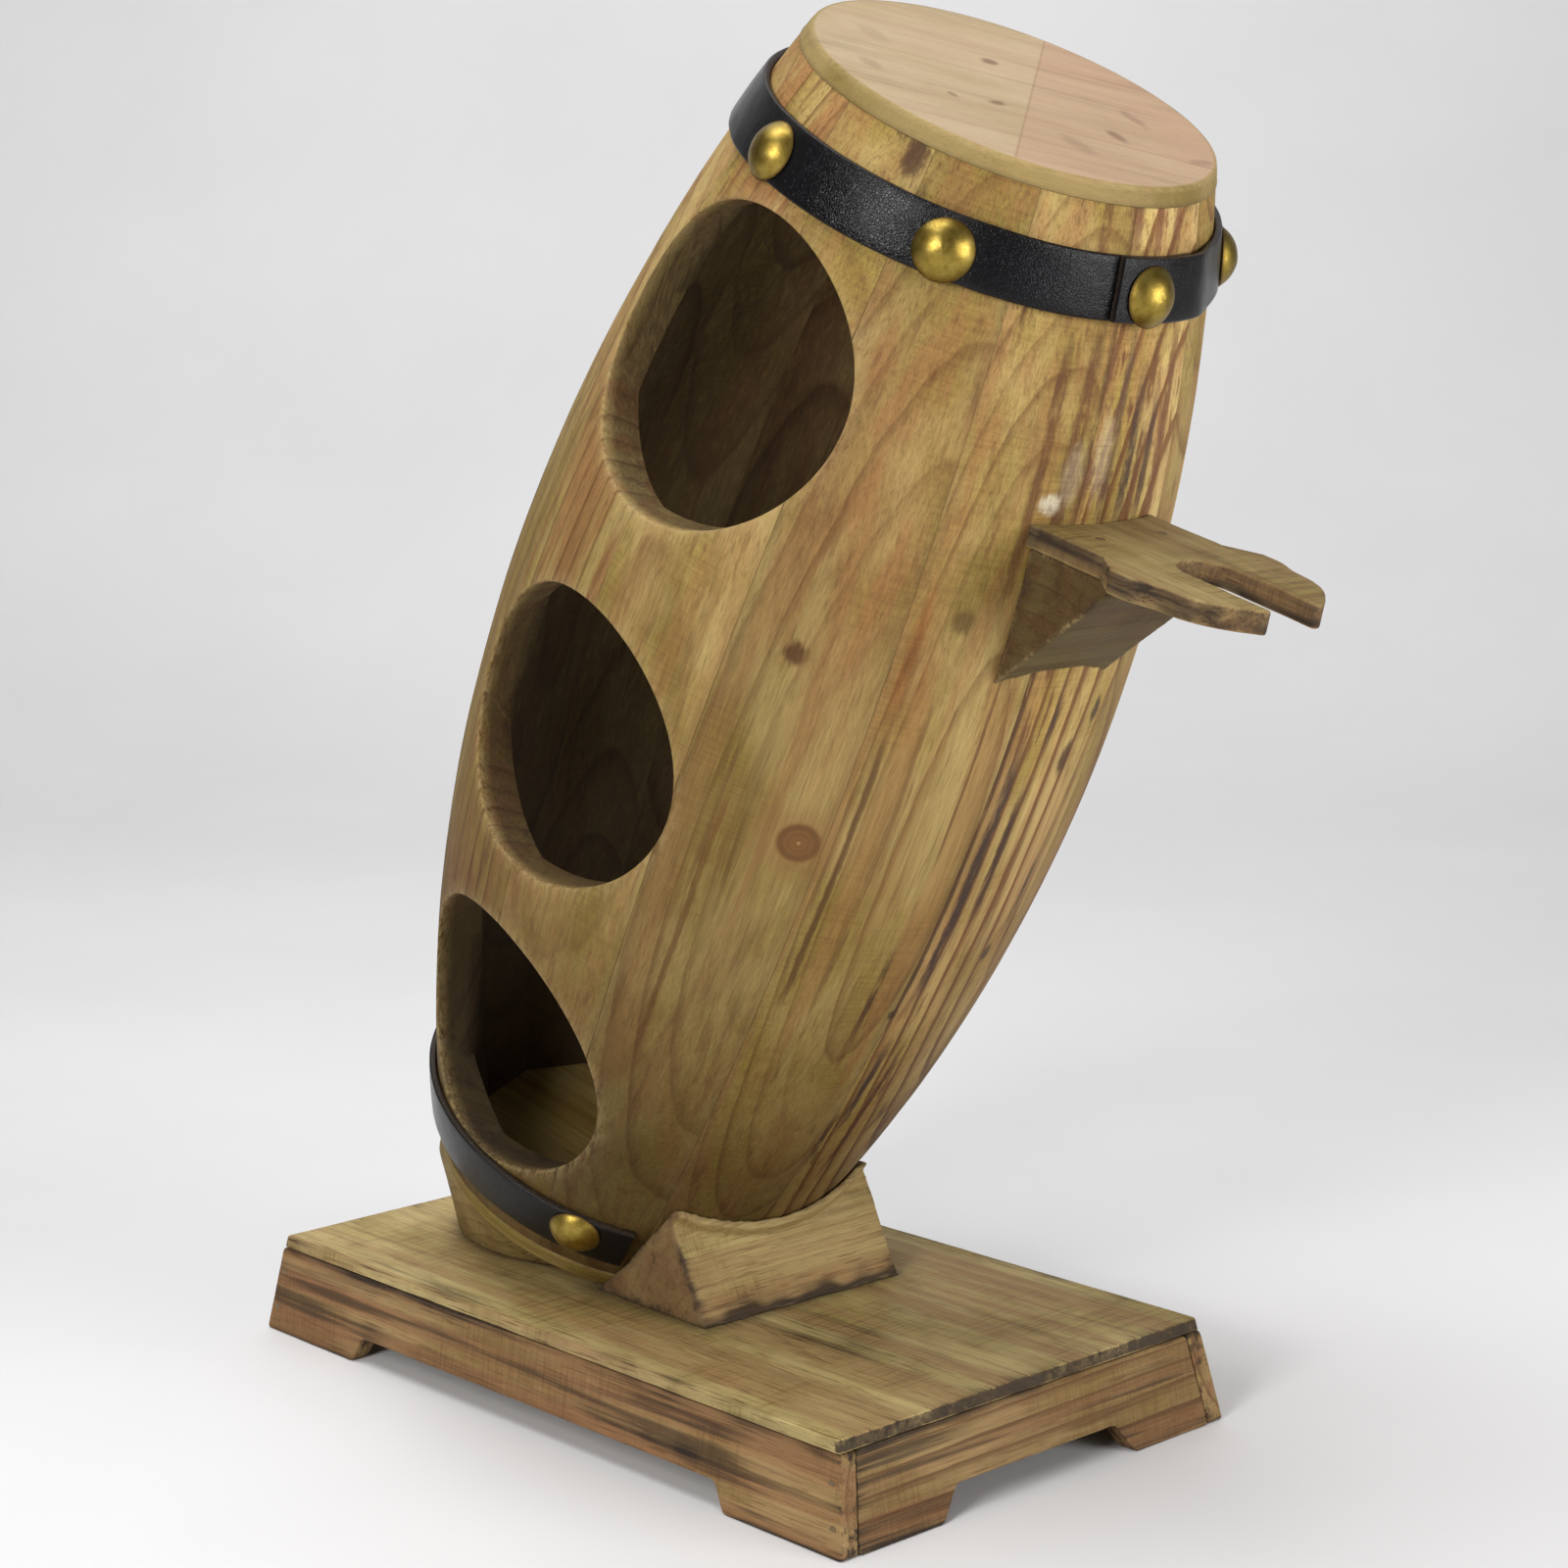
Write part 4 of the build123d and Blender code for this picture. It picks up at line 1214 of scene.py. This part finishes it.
FORK_HALF, FORK_NECK = 21.2, 22.8
SLOT_R, SLOT_MOUTH, SLOT_SEAT = 8.0, 62.6, 38.0
FORK_SHOULDER = (
    (31, 27.2), (37, 27.0), (43, 24.6), (50, 23.4), (55.5, 20.4), (60, 15.8), (63.4, 11.2)
)
FORK_TIP = ((63.4, 11.2), (64.1, 10.2), (64.2, 9.2), (63.6, 8.3))
BACK_AT = np.linspace(-FORK_HALF, FORK_HALF, 22)
fork_points = fork_outline(FORK_T / 2)
fork_normals = normals_of(fork_points)
# the back follows the barrel at every depth
BACK_DEPTHS = (0.0, 0.104, 0.4, 0.8, 3.0, 5.2, 5.6, 5.9, 6.0)
fork_backs = np.array([fork_back(depth) for depth in BACK_DEPTHS])


def fork_level(inset, depth):
    moved = fork_points.copy()
    moved[: len(BACK_AT), 0] = [np.interp(depth, BACK_DEPTHS, column) for column in fork_backs.T]
    return moved - fork_normals * inset


def fork_rim(inset, depth):
    return fork_row(fork_level(inset, depth), depth)


FORK_LIP = 0.8
verts, faces = shell(
    fork_level(FORK_LIP, 0.0), lambda p: fork_row(p, 0.0),
    fork_level(FORK_LIP, FORK_T), lambda p: fork_row(p, FORK_T),
    edge_rims(fork_rim, FORK_T, FORK_LIP, (2.2, 3.8)), 1.8, 2.4,
)
fork = place("wood_glass_fork", verts, faces, None, 55.0)


def fork_stain(verts):
    """The shelf's sawn edges are darker than its faces."""
    depth = (FORK_AT - verts) @ FORK_UP
    wall = np.clip(np.minimum(depth, FORK_T - depth) / 0.7, 0, 1)
    return {"dark": 0.55 * wall, "grime_and_shade": 0.22 * wall, "pink": 0.7 * wall}


grain = ((SIDE, FORK_UP, FORK_OUT), (5.0, FORK_AT @ FORK_UP - 16.0), 4.6, 0.3)
tone = (0.42, 0.45, 0.90)
finish_wood(fork, "glass_fork", block_wood, grain, tone, 1.0, 0.22, 0.22, fork_stain)


# ---- leather ----
def leather():
    g = Graph("black pebbled leather")
    flat = g.attribute("flat")
    raw_edge, dust, _ = g.paint()
    cells = {"Vector": flat, "Scale": 1.5, "Randomness": 1.0}
    cells = g.node("ShaderNodeTexVoronoi", cells, feature="DISTANCE_TO_EDGE")
    pebble = g.step(cells.outputs["Distance"], 0.0, 0.22)
    fine = g.noise(flat, 3.4, 3.0, 0.6)
    broad = g.noise(flat, 0.09, 3.0, 0.55)
    creases = g.noise(g.scaled(flat, (0.9, 0.12, 0.9)), 1.0, 3.0, 0.6)
    colour = g.ramp(broad, [(0.25, (0.0016, 0.0016, 0.0022)), (0.75, (0.0036, 0.0035, 0.0046))])
    colour = g.mix(g.mul(raw_edge, g.step(fine, 0.35, 0.65)), colour, (0.085, 0.055, 0.032))
    colour = g.mix(g.mul(dust, g.step(fine, 0.30, 0.60)), colour, (0.060, 0.055, 0.050))
    rough = g.add(g.mul_add(fine, 0.22, 0.06), g.mul(broad, 0.10))
    rough = g.add(rough, g.mul(raw_edge, 0.3), clamp=True)
    height = g.add(g.mul(pebble, 0.55), g.mul(fine, 0.45))
    normal = g.bump(height, 0.60, 0.00010)
    normal = g.bump(g.add(creases, broad), 0.30, 0.0003, normal)
    return g.finish(colour, rough, normal, Specular_IOR_Level=0.18)


strap_leather = leather()
STRAP_T, STRAP_EDGE = 2.0, 0.55
LAP_FROM, LAP_OVER = 15.0, 15.0


def strap_section(width):
    """A strap's cross-section: its edges rounded, with more points across its outer face."""
    section = []
    for corner, outer, first in ((1, False, -90), (1, True, 0), (-1, True, 90), (-1, False, 180)):
        middle = STRAP_T - STRAP_EDGE if outer else STRAP_EDGE
        for k in range(4):
            turn = math.radians(first + 30.0 * k)
            s = corner * (width / 2 - STRAP_EDGE) + STRAP_EDGE * math.cos(turn)
            section.append((s, middle + STRAP_EDGE * math.sin(turn)))
        if corner == 1 and outer:
            shares = (0.72, 0.5, 0.25, 0.0, -0.25, -0.5, -0.72)
            section += [(width / 2 * share, STRAP_T) for share in shares]
    return section


def off_barrel(s, lift):
    """A point lifted off the barrel's skin: its radius, its distance along, and the normal."""
    n_s = (s - S_MID) / FIT_R
    n_r = math.sqrt(1 - n_s * n_s)
    return float(radius(s)) + lift * n_r, s + lift * n_s, n_r, n_s


def strap(name, node, low, high, start, stop, tack_angles, lap):
    """A leather strip tacked round the barrel, from one angle down to another. Where it laps, its
    far end rises over its near one."""
    width, mid = high - low, (low + high) / 2
    count = int(abs(start - stop) / 1.6)
    section = strap_section(width)
    verts, flat, paint = [], [], []
    for angle in np.linspace(start, stop, count):
        rise = 0.0
        if lap:
            t = np.clip((angle - (start - 360.0 + LAP_FROM)) / -LAP_OVER, 0, 1)
            rise = STRAP_T * (3 * t**2 - 2 * t**3)
        sway = noise.noise(Vector((angle / 26.0, 3.1, mid))) * 0.35
        pull = sum(math.exp(-(((angle - t + 180) % 360 - 180) / 5.0) ** 2) for t in tack_angles)
        for ds, lift in section:
            fat, belly = lift, 0.0
            if lift > 0.9:
                fat += 0.10 * noise.noise(Vector((angle / 5.0, ds / 4.0, 7.0))) - 0.10 * pull
                belly = 0.12 * (1 - (2 * ds / width) ** 2) * (1 - pull)
            s = mid + sway + ds * (1.0 + 0.006 * noise.noise(Vector((angle / 9.0, 1.0, 2.0))))
            up = rise + fat + belly + 0.02
            r, at, _, _ = off_barrel(s, up)
            verts.append(barrel_at(r, angle, at))
            flat.append((angle * 1.15 + (0.0 if lap else 500.0), ds, up))
            on_edge = min(max(0.0, abs(ds) - (width / 2 - 0.75)) / 0.75, 1.0)
            paint.append((0.55 * on_edge * (0.4 if lift > 1.6 else 1.0), 0.25 * pull, 0, 1))
    ring = len(section)
    ends = (0, (count - 1) * ring)
    faces = [[at + i for i in range(ring)] for at in ends]
    for at in range(0, ends[1], ring):
        for i in range(ring):
            j = (i + 1) % ring
            faces.append([at + i, at + j, at + ring + j, at + ring + i])
    attributes = {"flat": np.array(flat), "paint": np.array(paint)}
    obj = place(name, np.array(verts), faces, attributes, 48.0)
    pieces.append((obj, strap_leather, "strap_leather", (node,)))


UPPER_TACKS = (-100.6, -51.3, -2.0, 47.0, 95.5, 144.0, 192.5)
LOWER_TACKS = (-53.0, 180.0, 53.0)
UPPER_STRAP, LOWER_STRAP = (336.8, 351.4), (36.9, 51.8)
strap("leather_upper_strap", "upper_strap", *UPPER_STRAP, 14.0, -371.0, UPPER_TACKS, True)
strap("leather_lower_strap", "lower_strap", *LOWER_STRAP, 321.5, 40.5, LOWER_TACKS, False)


# ---- tacks ----
def brass():
    g = Graph("antique brass")
    flat = g.attribute("flat")
    cloud = g.noise(flat, 0.35, 5.0, 0.6)
    fine = g.noise(flat, 2.2, 4.0, 0.65)
    shades = (0.190, 0.125, 0.022), (0.275, 0.194, 0.038), (0.360, 0.265, 0.064)
    tarnish = g.mul(g.step(fine, 0.52, 0.70), 0.35)
    tarnish = g.add(tarnish, g.paint()[0], clamp=True)
    colour = g.mix(tarnish, g.ramp(cloud, zip((0.30, 0.50, 0.72), shades)), (0.12, 0.070, 0.020))
    rough = g.add(g.mul_add(fine, 0.16, 0.29), g.mul(tarnish, 0.22), clamp=True)
    normal = g.bump(g.add(cloud, g.mul(fine, 0.5)), 0.10, 0.0006)
    return g.finish(colour, rough, normal, Metallic=1.0)


tack_brass = brass()
DOME_R, DOME_H, DOME_WALL = 7.4, 4.3, 0.9
ROUND_TACK = 56


def tack_profile():
    """(radius, height) from the top of the dome, over its rim, up inside it and down the nail."""
    ball = (DOME_R**2 + DOME_H**2) / (2 * DOME_H)
    reach = math.acos((ball - DOME_H) / ball)
    profile = [(0.0, DOME_H)]
    for k in range(1, 15):
        t = reach * 0.965 * k / 14
        profile.append((ball * math.sin(t), DOME_H - ball + ball * math.cos(t)))
    rim = ((0.10, 0.30), (0.0, 0.14), (0.05, 0.02), (0.35, -0.02), (DOME_WALL, 0.25))
    profile += [(DOME_R - inset, height) for inset, height in rim]
    inside = ball - DOME_WALL
    for k in range(13, 0, -2):
        t = reach * 0.9 * k / 14
        profile.append((max(inside * math.sin(t), 0.9), DOME_H - ball + inside * math.cos(t)))
    return profile + [(0.8, DOME_H - 1.2), (0.8, -5.5), (0.3, -6.8), (0.0, -7.2)]


def tacks(name, node, s, angles, lapped):
    """Dome tacks, each a little askew. lapped is the number of the one that holds the lap."""
    profile = tack_profile()
    verts, faces, flat, paint = [], [], [], []
    for number, angle in enumerate(angles):
        rng = random.Random(number * 7 + len(angles))
        lean_s, lean_t = rng.uniform(-0.04, 0.04), rng.uniform(-0.04, 0.04)
        lift = STRAP_T * (2 if lapped == number else 1) + 0.05
        r, along, n_r, n_s = off_barrel(s, lift)
        at = barrel_at(r, angle, along)
        out = barrel_at(r + n_r, angle, along + n_s) - at
        side = np.cross(out, ALONG)
        side /= np.linalg.norm(side)
        up = np.cross(side, out)
        out = out + lean_s * up + lean_t * side
        out /= np.linalg.norm(out)
        rows = []
        for row, (pr, ph) in enumerate(profile):
            steps = 1 if pr == 0.0 else ROUND_TACK
            rows.append(range(len(verts), len(verts) + steps))
            for i in range(steps):
                t = 2 * math.pi * i / ROUND_TACK
                c, q = math.cos(t), math.sin(t)
                dent = 1.0
                if row < 17:
                    dent += 0.012 * noise.noise(Vector((c * 1.3, q * 1.3, number * 3.7 + pr / 4)))
                verts.append(at + (side * c + up * q) * pr * dent + out * ph * dent)
                flat.append((pr * c + number * 31.0, pr * q, ph))
                dull = 0.85 if ph < 0.45 else 0.10 * max(0.0, pr / DOME_R - 0.6)
                paint.append((dull, 0, 0, 1))
        for upper, lower in zip(rows, rows[1:]):
            for i in range(ROUND_TACK):
                j = (i + 1) % ROUND_TACK
                if len(upper) == 1:
                    faces.append([upper[0], lower[i], lower[j]])
                elif len(lower) == 1:
                    faces.append([upper[i], lower[0], upper[j]])
                else:
                    faces.append([upper[i], lower[i], lower[j], upper[j]])
    attributes = {"flat": np.array(flat), "paint": np.array(paint)}
    obj = place(name, np.array(verts), faces, attributes, 60.0)
    pieces.append((obj, tack_brass, "tack_brass", (node,)))


tacks("brass_upper_tacks", "upper_tacks", sum(UPPER_STRAP) / 2 - 1.2, UPPER_TACKS, 2)
tacks("brass_lower_tacks", "lower_tacks", sum(LOWER_STRAP) / 2 + 1.6, LOWER_TACKS, -1)


# ---- hidden fixings keep their CAD meshes ----
def steel(name, dark, light, metallic=1.0):
    g = Graph(name)
    place_in = g.node("ShaderNodeTexCoord").outputs["Object"]
    fine = g.noise(place_in, 900.0, 4.0, 0.6)
    broad = g.noise(place_in, 160.0, 3.0, 0.5)
    colour = g.ramp(g.mul_add(broad, 0.6, g.mul(fine, 0.4)), [(0.3, dark), (0.7, light)])
    rough = g.mul_add(fine, 0.25, 0.33)
    return g.finish(colour, rough, g.bump(fine, 0.15, 0.0001), Metallic=metallic)


brad_steel = steel("stained brad steel", (0.10, 0.060, 0.028), (0.20, 0.135, 0.062), 0.25)
screw_steel = steel("zinc screw steel", (0.30, 0.29, 0.27), (0.52, 0.51, 0.49))


def dress(obj, material):
    obj.data.materials.clear()
    obj.data.materials.append(material)


for node, metal, slot_name in (
    ("skirt_brads", brad_steel, "brad_steel"),
    ("fork_brads", brad_steel, "brad_steel"),
    ("plinth_screws", screw_steel, "screw_steel"),
):
    dress(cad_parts[node], metal)

for obj, material, slot_name, nodes in pieces:
    dress(obj, material)
    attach(obj, "root")
    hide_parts(*nodes)


# ---- floor, light and camera ----
def backdrop():
    g = Graph("pale floor")
    where = g.node("ShaderNodeTexCoord").outputs["Object"]
    soft = g.noise(where, 2.2, 4.0, 0.6)
    colour = g.ramp(soft, [(0.3, (0.76, 0.755, 0.76)), (0.7, (0.82, 0.815, 0.82))])
    material = g.finish(colour, g.mul_add(soft, 0.1, 0.62), g.bump(soft, 0.05, 0.002))
    # flat, then a quarter turn of 0.8 m up into the wall behind, in metres
    turns = [math.radians(t) for t in range(6, 91, 6)]
    curve = [(1.0 + 0.8 * math.sin(t), 0.8 - 0.8 * math.cos(t)) for t in turns]
    profile = [(-2.2, 0.0), (1.0, 0.0), *curve, (1.8, 2.6)]
    c, q = math.cos(math.radians(CAMERA_YAW)), math.sin(math.radians(CAMERA_YAW))
    across = np.linspace(-3.2, 3.2, 33)
    verts = [(c * x - q * y, c * y + q * x, up) for y, up in profile for x in across]
    wide = len(across)
    corners = [row * wide + i for row in range(len(profile) - 1) for i in range(wide - 1)]
    faces = [(a, a + 1, a + 1 + wide, a + wide) for a in corners]
    mesh = bpy.data.meshes.new("floor")
    mesh.from_pydata(verts, [], faces)
    mesh.shade_smooth()
    mesh.materials.append(material)
    link("floor", mesh)


CAMERA_YAW, CAMERA_PITCH, CAMERA_ROLL = 47.9218, 8.7127, -0.8799
CAMERA_AT = Vector((PLINTH_X + 654.83, -563.70, 301.16)) * MM


def add_camera():
    a, p, t = (math.radians(v) for v in (CAMERA_YAW, CAMERA_PITCH, CAMERA_ROLL))
    forward = Vector((-math.sin(a) * math.cos(p), math.cos(a) * math.cos(p), -math.sin(p)))
    right = Vector((math.cos(a), math.sin(a), 0.0))
    up = right.cross(forward)
    c, q = math.cos(t), math.sin(t)
    right, up = right * c + up * q, up * c - right * q
    data = bpy.data.cameras.new("camera")
    data.lens, data.sensor_width = 72.51, 36.0
    data.clip_start, data.clip_end = 0.05, 20.0
    camera = link("camera", data)
    turn = Matrix((right, up, -forward)).transposed()
    camera.matrix_world = Matrix.Translation(CAMERA_AT) @ turn.to_4x4()
    bpy.context.scene.camera = camera


def lamp(name, at, aim, size, watts, colour=(1.0, 1.0, 1.0)):
    data = bpy.data.lights.new(name, "AREA")
    data.shape = "RECTANGLE"
    data.size, data.size_y = size
    data.energy = watts
    data.color = colour
    made = link(name, data)
    made.location = at
    made.rotation_mode = "QUATERNION"
    made.rotation_quaternion = (Vector(aim) - Vector(at)).to_track_quat("-Z", "Y")


backdrop()
add_camera()
lamp("overhead", (-0.10, -0.25, 1.60), (0.0, 0.0, 0.20), (0.9, 0.9), 12.8)
lamp("left_softbox", (0.37, -1.28, 0.86), (0.0, 0.0, 0.24), (0.42, 0.60), 6.5, (1.0, 0.995, 0.985))
lamp("left_strip", (0.38, -1.28, 0.57), (0.0, 0.0, 0.33), (0.46, 0.16), 7.0, (1.0, 0.995, 0.985))
lamp("right_softbox", (1.33, 0.40, 0.33), (0.0, 0.0, 0.28), (0.75, 0.62), 13.5, (0.985, 0.99, 1.0))
lamp("backdrop_light", (-0.70, 0.55, 1.70), (-1.15, 1.05, 0.45), (1.2, 0.8), 7.0)
world = bpy.data.worlds.new("studio")
world.use_nodes = True
sky = world.node_tree.nodes["Background"].inputs
sky["Color"].default_value, sky["Strength"].default_value = (0.965, 0.96, 0.97, 1.0), 0.20
bpy.context.scene.world = world
bpy.context.scene.view_settings.view_transform = "Standard"
